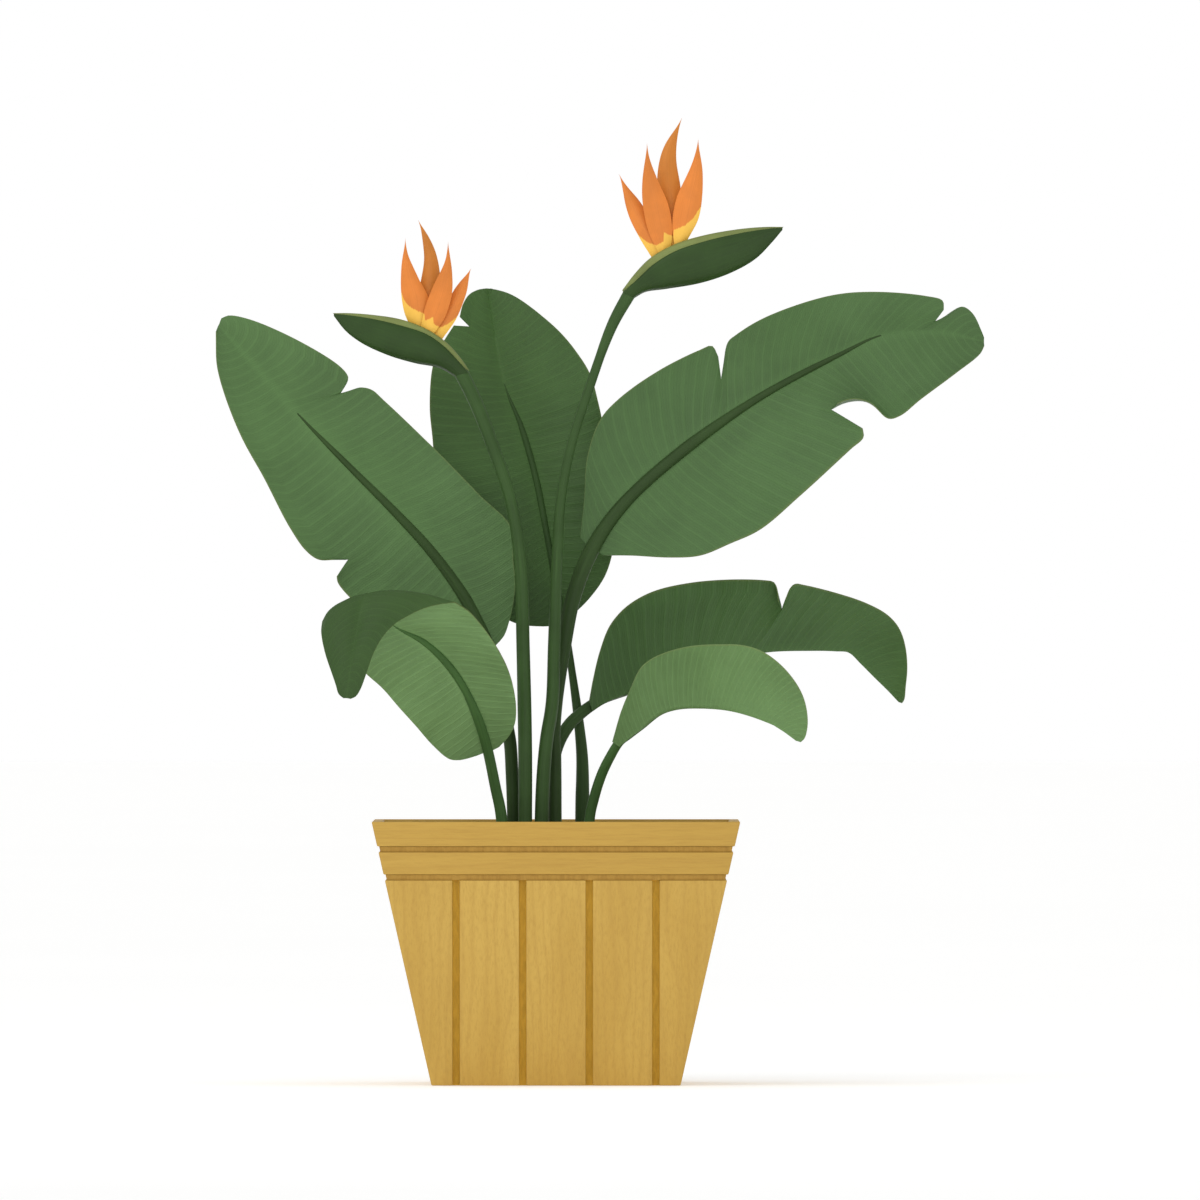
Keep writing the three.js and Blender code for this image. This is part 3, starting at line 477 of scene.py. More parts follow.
soil_finish = Finish("peaty_soil", Roughness=0.95)
ground = soil_finish.place()
grains = soil_finish.noise(ground, GRAIN_SCALE, detail=5, roughness=0.7)
clods = soil_finish.noise(ground, CLOD_SCALE, detail=4)
damp = soil_finish.mix(clods.between(0.35, 0.65), linear(*PEAT), linear(*DRY_PEAT))
flecked = soil_finish.mix(grains.between(0.55, 0.75), damp, linear(*BARK))
grit = soil_finish.node("ShaderNodeTexVoronoi", {}, {"Vector": ground, "Scale": GRIT_SCALE})
gritty = soil_finish.mix((grit < GRIT_REACH) * clods.between(0.5, 0.6), flecked, linear(*GRIT))
soil_finish.paint("Base Color", gritty)
soil_finish.relief(grains * 0.6 + clods * 0.4, depth=0.003, strength=0.9)
soil.data.materials.clear()
soil.data.materials.append(soil_finish.material)
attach(soil, "root")
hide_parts("potting_soil")


# ----------------------------------------------------------
# The leaf stalks: one firm, fibrous stalk a leaf, rising out of the soil and running on under the
# blade as its midrib until it dies out near the tip. Each grew as one with its blade.

# Each path runs from inside the soil to the tip of the leaf. blade_from and rib_to count its points:
# where the blade starts and where the midrib ends. half_widths are spaced evenly up to that end. tone
# is the leaf's painted light: dark at the back, light in front.
STALKS = {
    "left": {
        "tone": "mid", "blade_from": 6, "rib_to": 12,
        "half_widths": (6.7, 6.7, 6.5, 6.4, 6.8, 6.8, 5.7, 4.9, 3.9, 2.9, 0.9),
        "path": [
            (-42.6, 2, 165), (-42.6, 2, 264), (-44.2, 2, 310), (-46, 2, 340), (-50, 2, 362),
            (-57, 2, 400), (-67, 2, 434), (-80, 1, 463), (-93, 1, 488), (-125, 0, 532), (-157, -1, 567),
            (-206, 0, 616), (-259, 4, 670), (-338, 14, 758)]},
    "back": {
        "tone": "dark", "blade_from": 5, "rib_to": 10,
        "half_widths": (7.2, 7.2, 7, 5.3, 3.8, 3.4, 3.2, 3.4, 3.2, 0.9),
        "path": [
            (26, 44, 165), (26, 44, 264), (26, 44, 324), (23.4, 45, 354), (16, 48, 410), (7, 52, 466),
            (0, 56, 498), (-11, 66, 558), (-21, 78, 608), (-35.4, 94, 658), (-52, 112, 700),
            (-69.5, 150, 796.6)]},
    "right": {
        "tone": "mid", "blade_from": 7, "rib_to": 12,
        "half_widths": (6.6, 6.6, 6.4, 6.4, 7.6, 7.8, 6.2, 6.1, 4, 3.2, 0.9),
        "path": [
            (-1, 2, 165), (-1, 2, 264), (-1.2, 2, 324), (-2, 2, 352), (0, 2, 380), (7.5, 3, 436),
            (17, 4, 486), (36.3, 6, 535), (66, 9, 578), (125.5, 14, 632), (204.5, 18, 687),
            (284.3, 20, 729.4), (325, 20, 748), (379, 18, 752), (428, 14, 742)]},
    "front_left": {
        "tone": "light", "blade_from": 3, "rib_to": 9,
        "half_widths": (6, 6, 5.9, 5.5, 5.3, 5.2, 4.1, 4.1, 3.2, 0.9),
        "path": [
            (-54.5, -24, 165), (-54.5, -24, 264), (-61, -30, 298), (-68, -40, 332), (-73, -50, 350),
            (-79.5, -62, 369), (-92.5, -80, 397), (-109.4, -98, 421), (-131.5, -118, 441.5),
            (-162.5, -142, 459), (-176, -155, 477), (-184, -166, 490), (-191, -179, 485),
            (-198, -193, 452), (-204, -201, 418), (-208, -204, 386)]},
    "right_arching": {
        "tone": "dark", "blade_from": 6, "rib_to": 13,
        "half_widths": (6, 6.2, 6.4, 6.4, 6.2, 5.4, 4.4, 3.6, 2.8, 2, 0.9),
        "path": [
            (-3, 24, 165), (-3, 24, 264), (-4, 24, 300), (0, 25, 334), (12, 28, 357.5), (24, 33, 369.5),
            (36, 37, 378.5), (47, 40, 385), (71, 46, 393), (114, 56, 409), (159, 66, 422),
            (209, 80, 433), (256, 94, 434), (280, 101, 433), (293.5, 104, 431), (306, 108, 419.5),
            (319, 111, 406.5), (333, 114, 392.8), (344, 116, 381.2)]},
    "front_right": {
        "tone": "light", "blade_from": 5, "rib_to": 12,
        "half_widths": (5.2, 5.2, 5.2, 5.2, 5, 4.4, 3.6, 2.8, 2, 0.9),
        "path": [
            (33.4, -10, 165), (33.4, -10, 264), (38, -14, 286), (45, -22, 308), (53, -31, 325),
            (63.5, -40, 342), (72, -45, 348.5), (84.4, -51, 357.5), (104, -58, 372), (120, -63, 376.8),
            (141, -69, 377.8), (174, -79, 374.5), (209, -89, 362.8), (226, -93, 353.3),
            (233, -95, 348.3), (239.8, -96, 343.2)]},
}

# Painted light: the stalks of the front leaves, marked light, are coloured lighter as if lit.
STALK_COLOURS_WITH_PAINTED_LIGHT = {"mid": (50, 72, 35), "dark": (52, 77, 38), "light": (69, 102, 54)}
STALK_SMOOTHEST = 0.4
# Cells of noise round a stalk and in a metre along it, and patches in a metre.
STALK_THREADS, STALK_PATCHES = (34, 18), 16
STALK_DEPTH_RATIO = 0.85
STALK_SIDES = 24
STALK_ROWS = 130
SMOOTH_STALK = math.radians(50)
SHAPE_MERGE = 1e-6


class Path:
    """A smooth line through points, read by the share of its length."""

    SPAN_STEPS = 40
    HEADING_REACH = 0.004

    def __init__(self, points):
        knots = [Vector(point) for point in points]
        framed = [knots[0] * 2 - knots[1], *knots, knots[-1] * 2 - knots[-2]]
        self.points = []
        for first in range(len(knots) - 1):
            span = framed[first:first + 4]
            self.points += [self.inside(span, step / self.SPAN_STEPS) for step in range(self.SPAN_STEPS)]
        self.points.append(knots[-1])
        self.lengths = [0.0]
        for here, there in zip(self.points, self.points[1:]):
            self.lengths.append(self.lengths[-1] + (there - here).length)

    @staticmethod
    def inside(span, share):
        """A point between the middle two of four knots, eased by the square roots of their spacing."""
        before, here, there, after = span
        gap_in, gap, gap_out = (math.sqrt((b - a).length) for a, b in zip(span, span[1:]))
        leave = ((here - before) / gap_in - (there - before) / (gap_in + gap) + (there - here) / gap) * gap
        arrive = ((there - here) / gap - (after - here) / (gap + gap_out) + (after - there) / gap_out) * gap
        square, cube = share ** 2, share ** 3
        return (here * (2 * cube - 3 * square + 1) + leave * (cube - 2 * square + share)
                + there * (3 * square - 2 * cube) + arrive * (cube - square))

    def share_of(self, knot):
        return self.lengths[knot * self.SPAN_STEPS] / self.lengths[-1]

    def at(self, share):
        target = min(max(share, 0.0), 1.0) * self.lengths[-1]
        place = min(max(bisect.bisect_right(self.lengths, target) - 1, 0), len(self.points) - 2)
        run = self.lengths[place + 1] - self.lengths[place]
        return self.points[place].lerp(self.points[place + 1], (target - self.lengths[place]) / run)

    def heading(self, share):
        return (self.at(share + self.HEADING_REACH) - self.at(share - self.HEADING_REACH)).normalized()


def level_path(points):
    """A path through points given as (x, z) in the picture's plane."""
    return Path([(x, 0, z) for x, z in points])


def within(share):
    return min(max(share, 0.0), 1.0)


def along(values, share):
    """Reads a list of values that are spaced evenly from 0 to 1."""
    spot = within(share) * (len(values) - 1)
    low = min(int(spot), len(values) - 2)
    return values[low] + (values[low + 1] - values[low]) * (spot - low)


def reach_of(row, rows):
    """How far along a closed shape a row lies. The first and last rows only close its ends."""
    return within((row - 1) / (rows - 2))


def merge_points(piece, distance, outwards=False):
    pick(piece)
    bpy.ops.object.mode_set(mode="EDIT")
    bpy.ops.mesh.select_all(action="SELECT")
    bpy.ops.mesh.remove_doubles(threshold=distance)
    if outwards:
        bpy.ops.mesh.normals_make_consistent(inside=False)
    bpy.ops.object.mode_set(mode="OBJECT")


def closed_shape(name, sides, rows, place, smooth_within):
    """A grid wrapped into a closed shape by the rule place(u, v), with its faces turned outwards."""
    piece = shaped_grid(name, sides, rows, place)
    merge_points(piece, SHAPE_MERGE, outwards=True)
    bpy.ops.object.shade_smooth_by_angle(angle=smooth_within)
    return piece


def tube(name, path, end, half_widths, depth_ratio, sides, rows):
    """A closed tube round a path, up to the share of it at end, with its seam at the back."""
    rings = []
    for row in range(rows + 1):
        reach = reach_of(row, rows)
        share = end * reach
        heading = path.heading(share)
        sideways = heading.cross(Vector((0, 1, 0))).normalized()
        forward = heading.cross(sideways)
        half = 0 if row in (0, rows) else along(half_widths, reach)
        rings.append((path.at(share), sideways * half, forward * half * depth_ratio))

    def place(u, v):
        centre, sideways, forward = rings[round(v * rows)]
        turn = 2 * math.pi * u - math.pi / 2
        return (centre + sideways * math.cos(turn) + forward * math.sin(turn)) * MM

    return closed_shape(name, sides, rows, place, SMOOTH_STALK)


def tinted(colour, amount):
    """A screen colour made darker or lighter, as a linear colour."""
    return linear(*(min(part * amount, 255) for part in colour))


def surface(finish):
    """The piece's own UV map, as two values."""
    return axes(finish.node("ShaderNodeTexCoord", output="UV"))[:2]


def threads(finish, across, lengthwise):
    """Fine lines along a piece, from how many cells of noise there are each way."""
    cells = finish.node("ShaderNodeCombineXYZ", {}, {"X": across, "Y": lengthwise, "Z": 0.0})
    return finish.noise(cells, 1.0)


def stalk_finish(name, colour, length, smoothest):
    """Fibrous green: fine lines that run the length of the stalk, and long paler and darker stretches."""
    finish = Finish(name, Specular_IOR_Level=0.16)
    around, up = surface(finish)
    fibre = threads(finish, around * STALK_THREADS[0], up * length * STALK_THREADS[1])
    patch = finish.noise(finish.place(), STALK_PATCHES)
    base = finish.patches(patch, tinted(colour, 0.93), tinted(colour, 1.06))
    lined = finish.mix(fibre.between(0.5, 0.72) * 0.35, base, tinted(colour, 1.25))
    lined = finish.mix((1 - fibre.between(0.3, 0.45)) * 0.3, lined, tinted(colour, 0.72))
    finish.paint("Base Color", lined)
    finish.paint("Roughness", fibre * 0.16 + smoothest)
    finish.relief(fibre, depth=0.0004, strength=0.6)
    return finish.material


spines = {}
for leaf, stalk in STALKS.items():
    path = Path(stalk["path"])
    base, end = path.share_of(stalk["blade_from"]), path.share_of(stalk["rib_to"])
    widths = stalk["half_widths"]
    spines[leaf] = {"path": path, "base": base, "end": end, "widths": widths}
    piece = tube(f"{leaf}_leaf_stalk", path, end, widths, STALK_DEPTH_RATIO, STALK_SIDES, STALK_ROWS)
    piece.data.materials.append(stalk_finish(
        f"{leaf}_stalk_green", STALK_COLOURS_WITH_PAINTED_LIGHT[stalk["tone"]], path.lengths[-1] * end * MM, STALK_SMOOTHEST))
    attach(piece, "root")
    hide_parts(f"leaf_{leaf}_stalk")


# ----------------------------------------------------------
# The leaf blades: leathery paddles in two halves, with close side veins from the midrib to the margin.
# Wind has torn some of them along those veins, right to the edge.

# Each leaf has two halves. depths are the y of the margin, spaced evenly, bow is how far the half
# bellies back, and root is where it leaves a midrib that hides behind it, in half widths of the rib.
# lobes are the margins between splits, and a split is its share of the leaf and its inner end. Where
# a crest is given, the blade folds over along it and isn't torn.
BLADES = {
    "left": [
        {"side": 1, "bow": 4, "depths": (2, 12, 16, 18, 20, 24), "splits": [(0.74, (-216, 690))],
         "lobes": [
             [(-57, 442), (-52, 448), (-47, 462), (-43, 480), (-41, 500), (-43, 524), (-45, 556),
              (-76, 588), (-121, 634), (-171, 682), (-185, 694), (-196, 696), (-204, 693)],
             [(-210, 700), (-208, 706), (-215, 716), (-256, 742), (-306, 764), (-328, 768),
              (-335, 765)]]},
        {"side": -1, "bow": 4, "depths": (2, -12, -26, -30, -24, 4), "splits": [(0.4, (-208, 524))],
         "lobes": [
             [(-77, 431), (-94, 425), (-126, 434), (-171, 458), (-206, 486), (-218, 501), (-219, 507)],
             [(-223, 524), (-237, 524), (-249, 532), (-266, 556), (-292, 606), (-314, 646), (-331, 688),
              (-339, 718), (-340, 742), (-340, 752)]]},
    ],
    "back": [
        {"side": 1, "bow": -5, "depths": (50, 46, 60, 84, 112, 147), "splits": [],
         "lobes": [
             [(13, 465), (34, 486), (49, 508), (57, 534), (61, 568), (58, 608), (50, 644), (42, 682),
              (34, 710), (19, 734), (4, 752), (-16, 770), (-36, 785), (-48, 791.5), (-60, 795.2),
              (-66, 796.4)]]},
        {"side": -1, "bow": -5, "depths": (50, 46, 60, 84, 112, 147), "splits": [(0.86, (-87, 758))],
         "lobes": [
             [(0, 458), (-14, 457), (-40, 460), (-61, 472), (-84, 498), (-106, 544), (-119, 588),
              (-124, 644), (-127, 678), (-124, 718), (-116, 738), (-103, 759)],
             [(-97, 768), (-94, 780), (-88, 790), (-80, 794.8), (-73, 796.4)]]},
    ],
    "right": [
        {"side": -1, "bow": 4, "depths": (6, 22, 36, 44, 40, 16),
         "splits": [(0.38, (165, 704)), (0.85, (379, 762))],
         "lobes": [
             [(24, 546), (28, 584), (31, 626), (44, 664), (64, 686), (104, 714), (144, 734), (156, 738),
              (162, 727)],
             [(168, 722), (172, 742), (180, 749), (204, 764), (244, 780), (284, 790), (324, 792),
              (369, 788), (387, 783), (388, 774)],
             [(386, 764), (396, 772), (407, 777), (417, 770), (425, 754), (428, 746)]]},
        {"side": 1, "bow": 4, "depths": (4, -14, -26, -28, -18, 10), "splits": [(0.52, (275, 674))],
         "lobes": [
             [(47, 528), (74, 528), (114, 526), (144, 528), (174, 540), (204, 554), (244, 588),
              (294, 634), (307, 646), (306, 655)],
             [(281, 680), (292, 684), (304, 684), (315, 680), (332, 665), (344, 668), (364, 684),
              (399, 710), (424, 730), (428, 738)]]},
    ],
    "front_left": [
        {"side": 1, "bow": -5, "depths": (-42, -70, -110, -150, -182, -198, -203),
         "splits": [(0.68, (-142, 492))],
         "crest": [(-175.3, 492.2), (-156.6, 492.9), (-140.2, 491.2), (-123.8, 488), (-109.7, 483.7)],
         "lobes": [
             [(-57, 337), (-47, 348), (-41, 361), (-40, 378), (-43, 398), (-49, 417), (-60.5, 439),
              (-74.6, 459), (-86.3, 472), (-100, 481)],
             [(-100, 481), (-114, 479.3), (-128.5, 476), (-142.5, 470), (-159.4, 460), (-171, 448.3),
              (-181, 431), (-188, 411.5), (-194.6, 394), (-199, 387.6), (-204, 385.4)]]},
        {"side": -1, "bow": -5, "depths": (-42, -58, -96, -140, -176, -196, -203),
         "splits": [(0.68, (-211, 483))],
         "crest": [(-200, 487.2), (-210.5, 482.6), (-220, 477.4), (-227, 471)],
         "lobes": [
             [(-80, 328), (-90, 325), (-98, 323.7), (-107, 325), (-124, 339.5), (-140, 358), (-157, 377),
              (-173, 395.6), (-189, 410), (-208, 430), (-224, 450), (-232, 462)],
             [(-232, 462), (-233, 453), (-231.8, 442.5), (-228.4, 428.4), (-221.6, 408.5), (-218.4, 399),
              (-215.7, 390.2), (-211, 386)]]},
    ],
    "right_arching": [
        {"side": -1, "bow": 6, "root": (0, -1, -1.1), "depths": (26, 20, 30, 52, 84, 112),
         "splits": [(0.5, (226, 474))],
         "lobes": [
             [(33, 382), (37, 404), (43.4, 431), (53, 456.5), (65, 472), (79, 483), (100, 493),
              (135, 500.7), (174, 503.8), (209, 503), (217.5, 501.3), (220.5, 496), (222.3, 482)],
             [(230, 485), (234.8, 495.6), (239.5, 499.5), (248.5, 498.3), (280, 490.5), (311, 480),
              (332.5, 468), (344, 454.6), (350, 437), (352, 415.5), (350.4, 396), (349, 383.5),
              (346.6, 380)]]},
        {"side": 1, "bow": 6, "root": (0, 0.7, 0.15), "depths": (46, 78, 110, 136, 146, 120),
         "splits": [],
         "lobes": [
             [(42, 392), (54, 416), (70, 440), (99, 456), (144, 464), (194, 468), (254, 464), (304, 452),
              (328, 434), (338, 408), (343, 388)]]},
    ],
    "front_right": [
        {"side": -1, "bow": 5, "root": (0, -1, -1.1), "depths": (-46, -84, -112, -130, -122, -98),
         "splits": [],
         "lobes": [
             [(56, 342), (58.3, 350), (65, 372.6), (74.7, 396), (84.4, 415.5), (94.2, 424), (112, 432),
              (135, 437.4), (162.5, 439), (186, 438.2), (205.5, 432), (225, 417.5), (240.7, 398),
              (247.7, 382.3), (250.6, 364.8), (249.8, 353), (247.4, 345.3), (243.8, 341.8)]]},
        {"side": 1, "bow": 5, "root": (0, 0.7, 0.15), "depths": (-34, -26, -28, -40, -66, -93),
         "splits": [],
         "lobes": [
             [(65, 349), (78, 368), (96, 390), (124, 404), (159, 409), (194, 402), (222, 384), (236, 364),
              (242, 347)]]},
    ],
}

BLADE_STEPS = 28
BLADE_FINE = 6
BLADE_ACROSS = 26
BLADE_THICKNESS = 1.0
BLADE_MERGE = 2e-5
SMOOTH_BLADE = math.radians(60)
# The height of the margin's waves and of the pleats between veins, and how many run along a leaf.
MARGIN_WAVE, MARGIN_WAVES = 3, 4
PLEAT, PLEATS = 0.35, 23
# How deep a blade is tucked into its rib and where an arching one holds on under it, in half widths,
# and the share of the leaf over which that dies out at the rib's end.
TUCK = 0.7
HUG = Vector((0, -0.35, -0.85))
RIB_FADE = 0.03
VEIN_SWEEP = 0.03
MAJOR_VEINS, MINOR_VEINS = 46, 196
# How often in a metre the veins drift, and the blotches and specks change.
DRIFT_SCALE, BLOTCH_SCALE, SPECK_SCALE = 14, 11, 260
VEIN_DEPTH = 0.0004
RIM = (126, 132, 74)
# The side that faces back in the front view, then the side that faces front, as screen colours. They
# hold painted light: the leaves at the back are painted darker as shade and those in front lighter as
# lit. The front-left leaf's front side is partly its paler underside and is painted brighter still because
# it faces down.
BLADE_COLOURS_WITH_PAINTED_LIGHT = {
    "left": ((74, 103, 58), (82, 113, 66)),
    "back": ((60, 87, 46), (65, 95, 48)),
    "right": ((71, 99, 56), (76, 106, 61)),
    "front_left": ((54, 80, 37), (114, 148, 94)),
    "right_arching": ((66, 96, 52), (68, 98, 53)),
    "front_right": ((103, 134, 84), (105, 138, 86)),
}


def root_point(half, spine, step, hug=False):
    """Where the blade leaves the midrib, tucked a little way into it, or right under it."""
    share = spine["base"] + (1 - spine["base"]) * step / BLADE_STEPS
    point = spine["path"].at(share)
    half_width = along(spine["widths"], share / spine["end"])
    if "root" in half:
        fade = within(1 - (share - spine["end"]) / RIB_FADE)
        return point + (HUG if hug else Vector(half["root"])) * half_width * fade
    reach = half_width * TUCK * within((spine["end"] - share) / RIB_FADE)
    sideways = spine["path"].heading(share).cross(Vector((0, 1, 0))).normalized()
    return point - sideways * half["side"] * reach


def split_bend(half, spine, index):
    """How far across the blade, in whole rows, the vein beside a split bends at the split's inner end."""
    share, inner = half["splits"][index]
    root = root_point(half, spine, round(share * BLADE_STEPS))
    ends = (half["lobes"][index][-1], half["lobes"][index + 1][0])
    open_run = sum(math.dist(end, inner) for end in ends) / 2
    closed_run = math.dist((root.x, root.z), inner)
    rows = round(BLADE_ACROSS * closed_run / (closed_run + open_run))
    return min(max(rows, 1), BLADE_ACROSS - 1) / BLADE_ACROSS


def lobe_sheet(name, half, spine, lobe):
    """One lobe as a sheet bounded by its midrib, its margin and the side veins at its two ends."""
    limits = [0, *(round(share * BLADE_STEPS) for share, _ in half["splits"]), BLADE_STEPS]
    first, last = limits[lobe], limits[lobe + 1]
    columns = (last - first) * BLADE_FINE
    margin = level_path(half["lobes"][lobe])
    steps = [first + column / BLADE_FINE for column in range(columns + 1)]
    roots = [root_point(half, spine, step) for step in steps]
    edges = [margin.at(column / columns) for column in range(columns + 1)]

    def vein(column, split):
        root, corner = roots[column], edges[column]
        shares = [row / BLADE_ACROSS for row in range(BLADE_ACROSS + 1)]
        if not 0 <= split < len(half["splits"]):
            return [root.lerp(corner, share) for share in shares]
        if "crest" in half:
            crest = level_path([(root.x, root.z), *half["crest"], (corner.x, corner.z)])
            return [crest.at(share) for share in shares]
        bend = split_bend(half, spine, split)
        x, z = half["splits"][split][1]
        inner = Vector((x, 0, z))
        return [root.lerp(inner, share / bend) if share <= bend
                else inner.lerp(corner, (share - bend) / (1 - bend)) for share in shares]

    first_vein, last_vein = vein(0, lobe - 1), vein(columns, lobe)

    def place(u, v):
        column, row = round(u * columns), round(v * BLADE_ACROSS)
        if row == 0 and "root" in half and half["side"] < 0:
            return root_point(half, spine, steps[column], hug=True) * MM
        root, edge = roots[column], edges[column]
        spot = (root * (1 - v) + edge * v + first_vein[row] * (1 - u) + last_vein[row] * u
                - (first_vein[0] * (1 - v) + first_vein[-1] * v) * (1 - u)
                - (last_vein[0] * (1 - v) + last_vein[-1] * v) * u)
        share = steps[column] / BLADE_STEPS
        belly = math.sin(math.pi * share)
        swell = half["bow"] * 4 * v * (1 - v) * belly
        wave = MARGIN_WAVE * v * v * belly * math.sin(2 * math.pi * MARGIN_WAVES * share + half["side"])
        pleat = PLEAT * min(4 * v, 1) * belly * math.sin(2 * math.pi * PLEATS * share)
        depth = root.y + (along(half["depths"], share) - root.y) * v
        return Vector((spot.x, depth + swell + wave + pleat, spot.z)) * MM

    sheet = shaped_grid(name, columns, BLADE_ACROSS, place)
    start, length = first / BLADE_STEPS, (last - first) / BLADE_STEPS
    for corner in sheet.data.uv_layers.active.data:
        corner.uv.x = start + corner.uv.x * length
    if half["side"] < 0:
        sheet.data.flip_normals()
    return sheet


def leaf_finish(name, colour):
    """Leathery green. Side veins run across the blade, with finer ones between, over soft blotches."""
    finish = Finish(name, Specular_IOR_Level=0.22)
    lengthwise, across = surface(finish)
    spot = finish.place()
    drift = finish.noise(spot, DRIFT_SCALE, detail=2)
    swept = (lengthwise - across ** 2 * VEIN_SWEEP) * 2 * math.pi
    major = ((swept * MAJOR_VEINS + drift * 5).sine() * 0.5 + 0.5) ** 6
    minor = ((swept * MINOR_VEINS + drift * 16).sine() * 0.5 + 0.5) ** 2
    blotch = finish.noise(spot, BLOTCH_SCALE, detail=4, roughness=0.6)
    speck = finish.noise(spot, SPECK_SCALE)
    near_rib = 1 - across.between(0.0, 0.16)
    base = finish.patches(blotch, tinted(colour, 0.94), tinted(colour, 1.05))
    base = finish.mix(near_rib * 0.5, base, tinted(colour, 1.1))
    base = finish.mix(major * 0.34, base, tinted(colour, 1.15))
    base = finish.mix(minor * 0.16, base, tinted(colour, 0.85))
    base = finish.mix(speck.between(0.6, 0.8) * 0.25, base, tinted(colour, 0.88))
    finish.paint("Base Color", finish.mix(across.between(0.975, 1.0) * 0.28, base, linear(*RIM)))
    finish.paint("Roughness", blotch * 0.14 + speck * 0.1 + 0.38)
    finish.relief(major * 0.7 + minor * 0.3, depth=VEIN_DEPTH, strength=0.8)
    return finish.material


for leaf, halves in BLADES.items():
    sheets = [lobe_sheet(f"{leaf}_lobe_{index}_{lobe}", half, spines[leaf], lobe)
              for index, half in enumerate(halves) for lobe in range(len(half["lobes"]))]
    pick(*sheets)
    bpy.ops.object.join()
    blade = bpy.context.object
    blade.name = f"{leaf}_leaf_blade"
    merge_points(blade, BLADE_MERGE)
    # Both sides' colours carry painted light: darker for the leaves at the back, lighter for those in
    # front.
    rear, fore = BLADE_COLOURS_WITH_PAINTED_LIGHT[leaf]
    blade.data.materials.append(leaf_finish(f"{leaf}_blade_rear", rear))
    blade.data.materials.append(leaf_finish(f"{leaf}_blade_fore", fore))
    give_thickness(blade, BLADE_THICKNESS * MM, other_side=1)
    bpy.ops.object.shade_smooth_by_angle(angle=SMOOTH_BLADE)
    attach(blade, "root")
    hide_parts(f"leaf_{leaf}_blade")


# ----------------------------------------------------------
# The flower stems: two round, smooth scapes that stand in the soil among the leaf stalks. Each grew
# as one with its beak and runs on into it without a joint.

# keel, band and top are the three lines along a beak, from its point back to its stem: its underside,
# where the green meets the olive lip, and the top of the lip. slit is the stretch that lies open.
FLOWERS = {
    "left": {
        "stem": [(-31, -21, 165), (-31, -21, 264), (-31, -21, 334), (-33, -22, 434), (-36, -24, 524),
                 (-45.6, -25, 584), (-62, -26, 634), (-81.6, -27, 684), (-95, -28, 711)],
        "stem_half_widths": (7, 7, 7, 7, 6.7, 6.6, 5.9, 6.6, 7.4),
        "beak_depths": (-40, -28),
        "beak_half_widths": (1.6, 4, 7, 9.5, 11, 11.5, 11, 9.5, 7.4),
        "top": [(-223, 770), (-206, 770), (-181, 768), (-156, 764), (-131, 755), (-111, 742), (-96, 726),
                (-87, 713)],
        "band": [(-222, 769), (-206, 768), (-181, 764), (-156, 758), (-131, 750), (-114, 739), (-99, 724),
                 (-88, 711)],
        "keel": [(-222, 767), (-210, 752), (-194, 740), (-168, 728), (-141, 720), (-116, 715),
                 (-102, 707)],
        "slit": (0.34, 0.92),
    },
    "right": {
        "stem": [(-14.4, -18, 165), (-14.4, -18, 264), (-12.6, -18, 310), (-9.4, -18, 345),
                 (-4, -19, 380), (-2, -20, 440), (1.2, -22, 534), (4.8, -24, 584), (15, -26, 638),
                 (34, -28, 698), (56, -30, 758), (74, -31, 791)],
        "stem_half_widths": (7.2, 7.2, 7, 6.6, 6.2, 5.6, 4.8, 4.8, 4.6, 6.6),
        "beak_depths": (-48, -31),
        "beak_half_widths": (1.6, 4.5, 7.5, 10, 11.5, 12, 11.5, 9.5, 7.2),
        "top": [(227, 856), (209, 856), (184, 854), (149, 848), (119, 839), (94, 825), (79, 810),
                (66, 793)],
        "band": [(226, 855), (209, 854), (184, 850), (149, 842), (119, 832), (96, 818), (81, 804),
                 (67, 791)],
        "keel": [(226, 853), (215, 840), (199, 824), (174, 810), (144, 800), (109, 794), (89, 791),
                 (78, 785)],
        "slit": (0.4, 0.94),
    },
}

FLOWER_GREEN = (57, 83, 42)
STEM_SMOOTHEST = 0.37
STEM_END = 1.0
STEM_DEPTH_RATIO = 1.0
STEM_SIDES = 28
STEM_ROWS = 120

for flower, parts in FLOWERS.items():
    path = Path(parts["stem"])
    stem = tube(f"{flower}_flower_stem", path, STEM_END, parts["stem_half_widths"], STEM_DEPTH_RATIO,
                STEM_SIDES, STEM_ROWS)
    stem.data.materials.append(stalk_finish(
        f"{flower}_scape_green", FLOWER_GREEN, path.lengths[-1] * MM, STEM_SMOOTHEST))
    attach(stem, "root")
    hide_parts(f"flower_{flower}_stem")


# ----------------------------------------------------------
# The beaks: each stem's end swells into a keeled, pointed sheath that lies nearly level and is slit
# along the top. An olive lip edges the slit on both sides, and the flowers stand up out of it.

BEAK_ROWS = 90
BEAK_SIDES = 44
SMOOTH_BEAK = math.radians(45)
SHEATH_GREEN, SHEATH_WARM = (44, 67, 28), (60, 82, 38)
LIP_OLIVE, LIP_WARM = (115, 126, 72), (96, 84, 46)
# One side of the sheath in section, from its keel up, in shares of its width and height.
SHEATH_SIDE = level_path([(0, 0), (0.34, 0.16), (0.49, 0.44), (0.5, 0.74), (0.42, 1)])
SHEATH_TOP = 0.42
SHEATH_WRAP = 0.8
LIP_FADE = 0.08
SLIT_DEPTH = 0.85
SLIT_NARROW, SLIT_GAPE = 2, 3.8
# Cells of noise round a beak and along it, and patches in a metre.
BEAK_THREADS, BEAK_PATCHES = (60, 4), 22


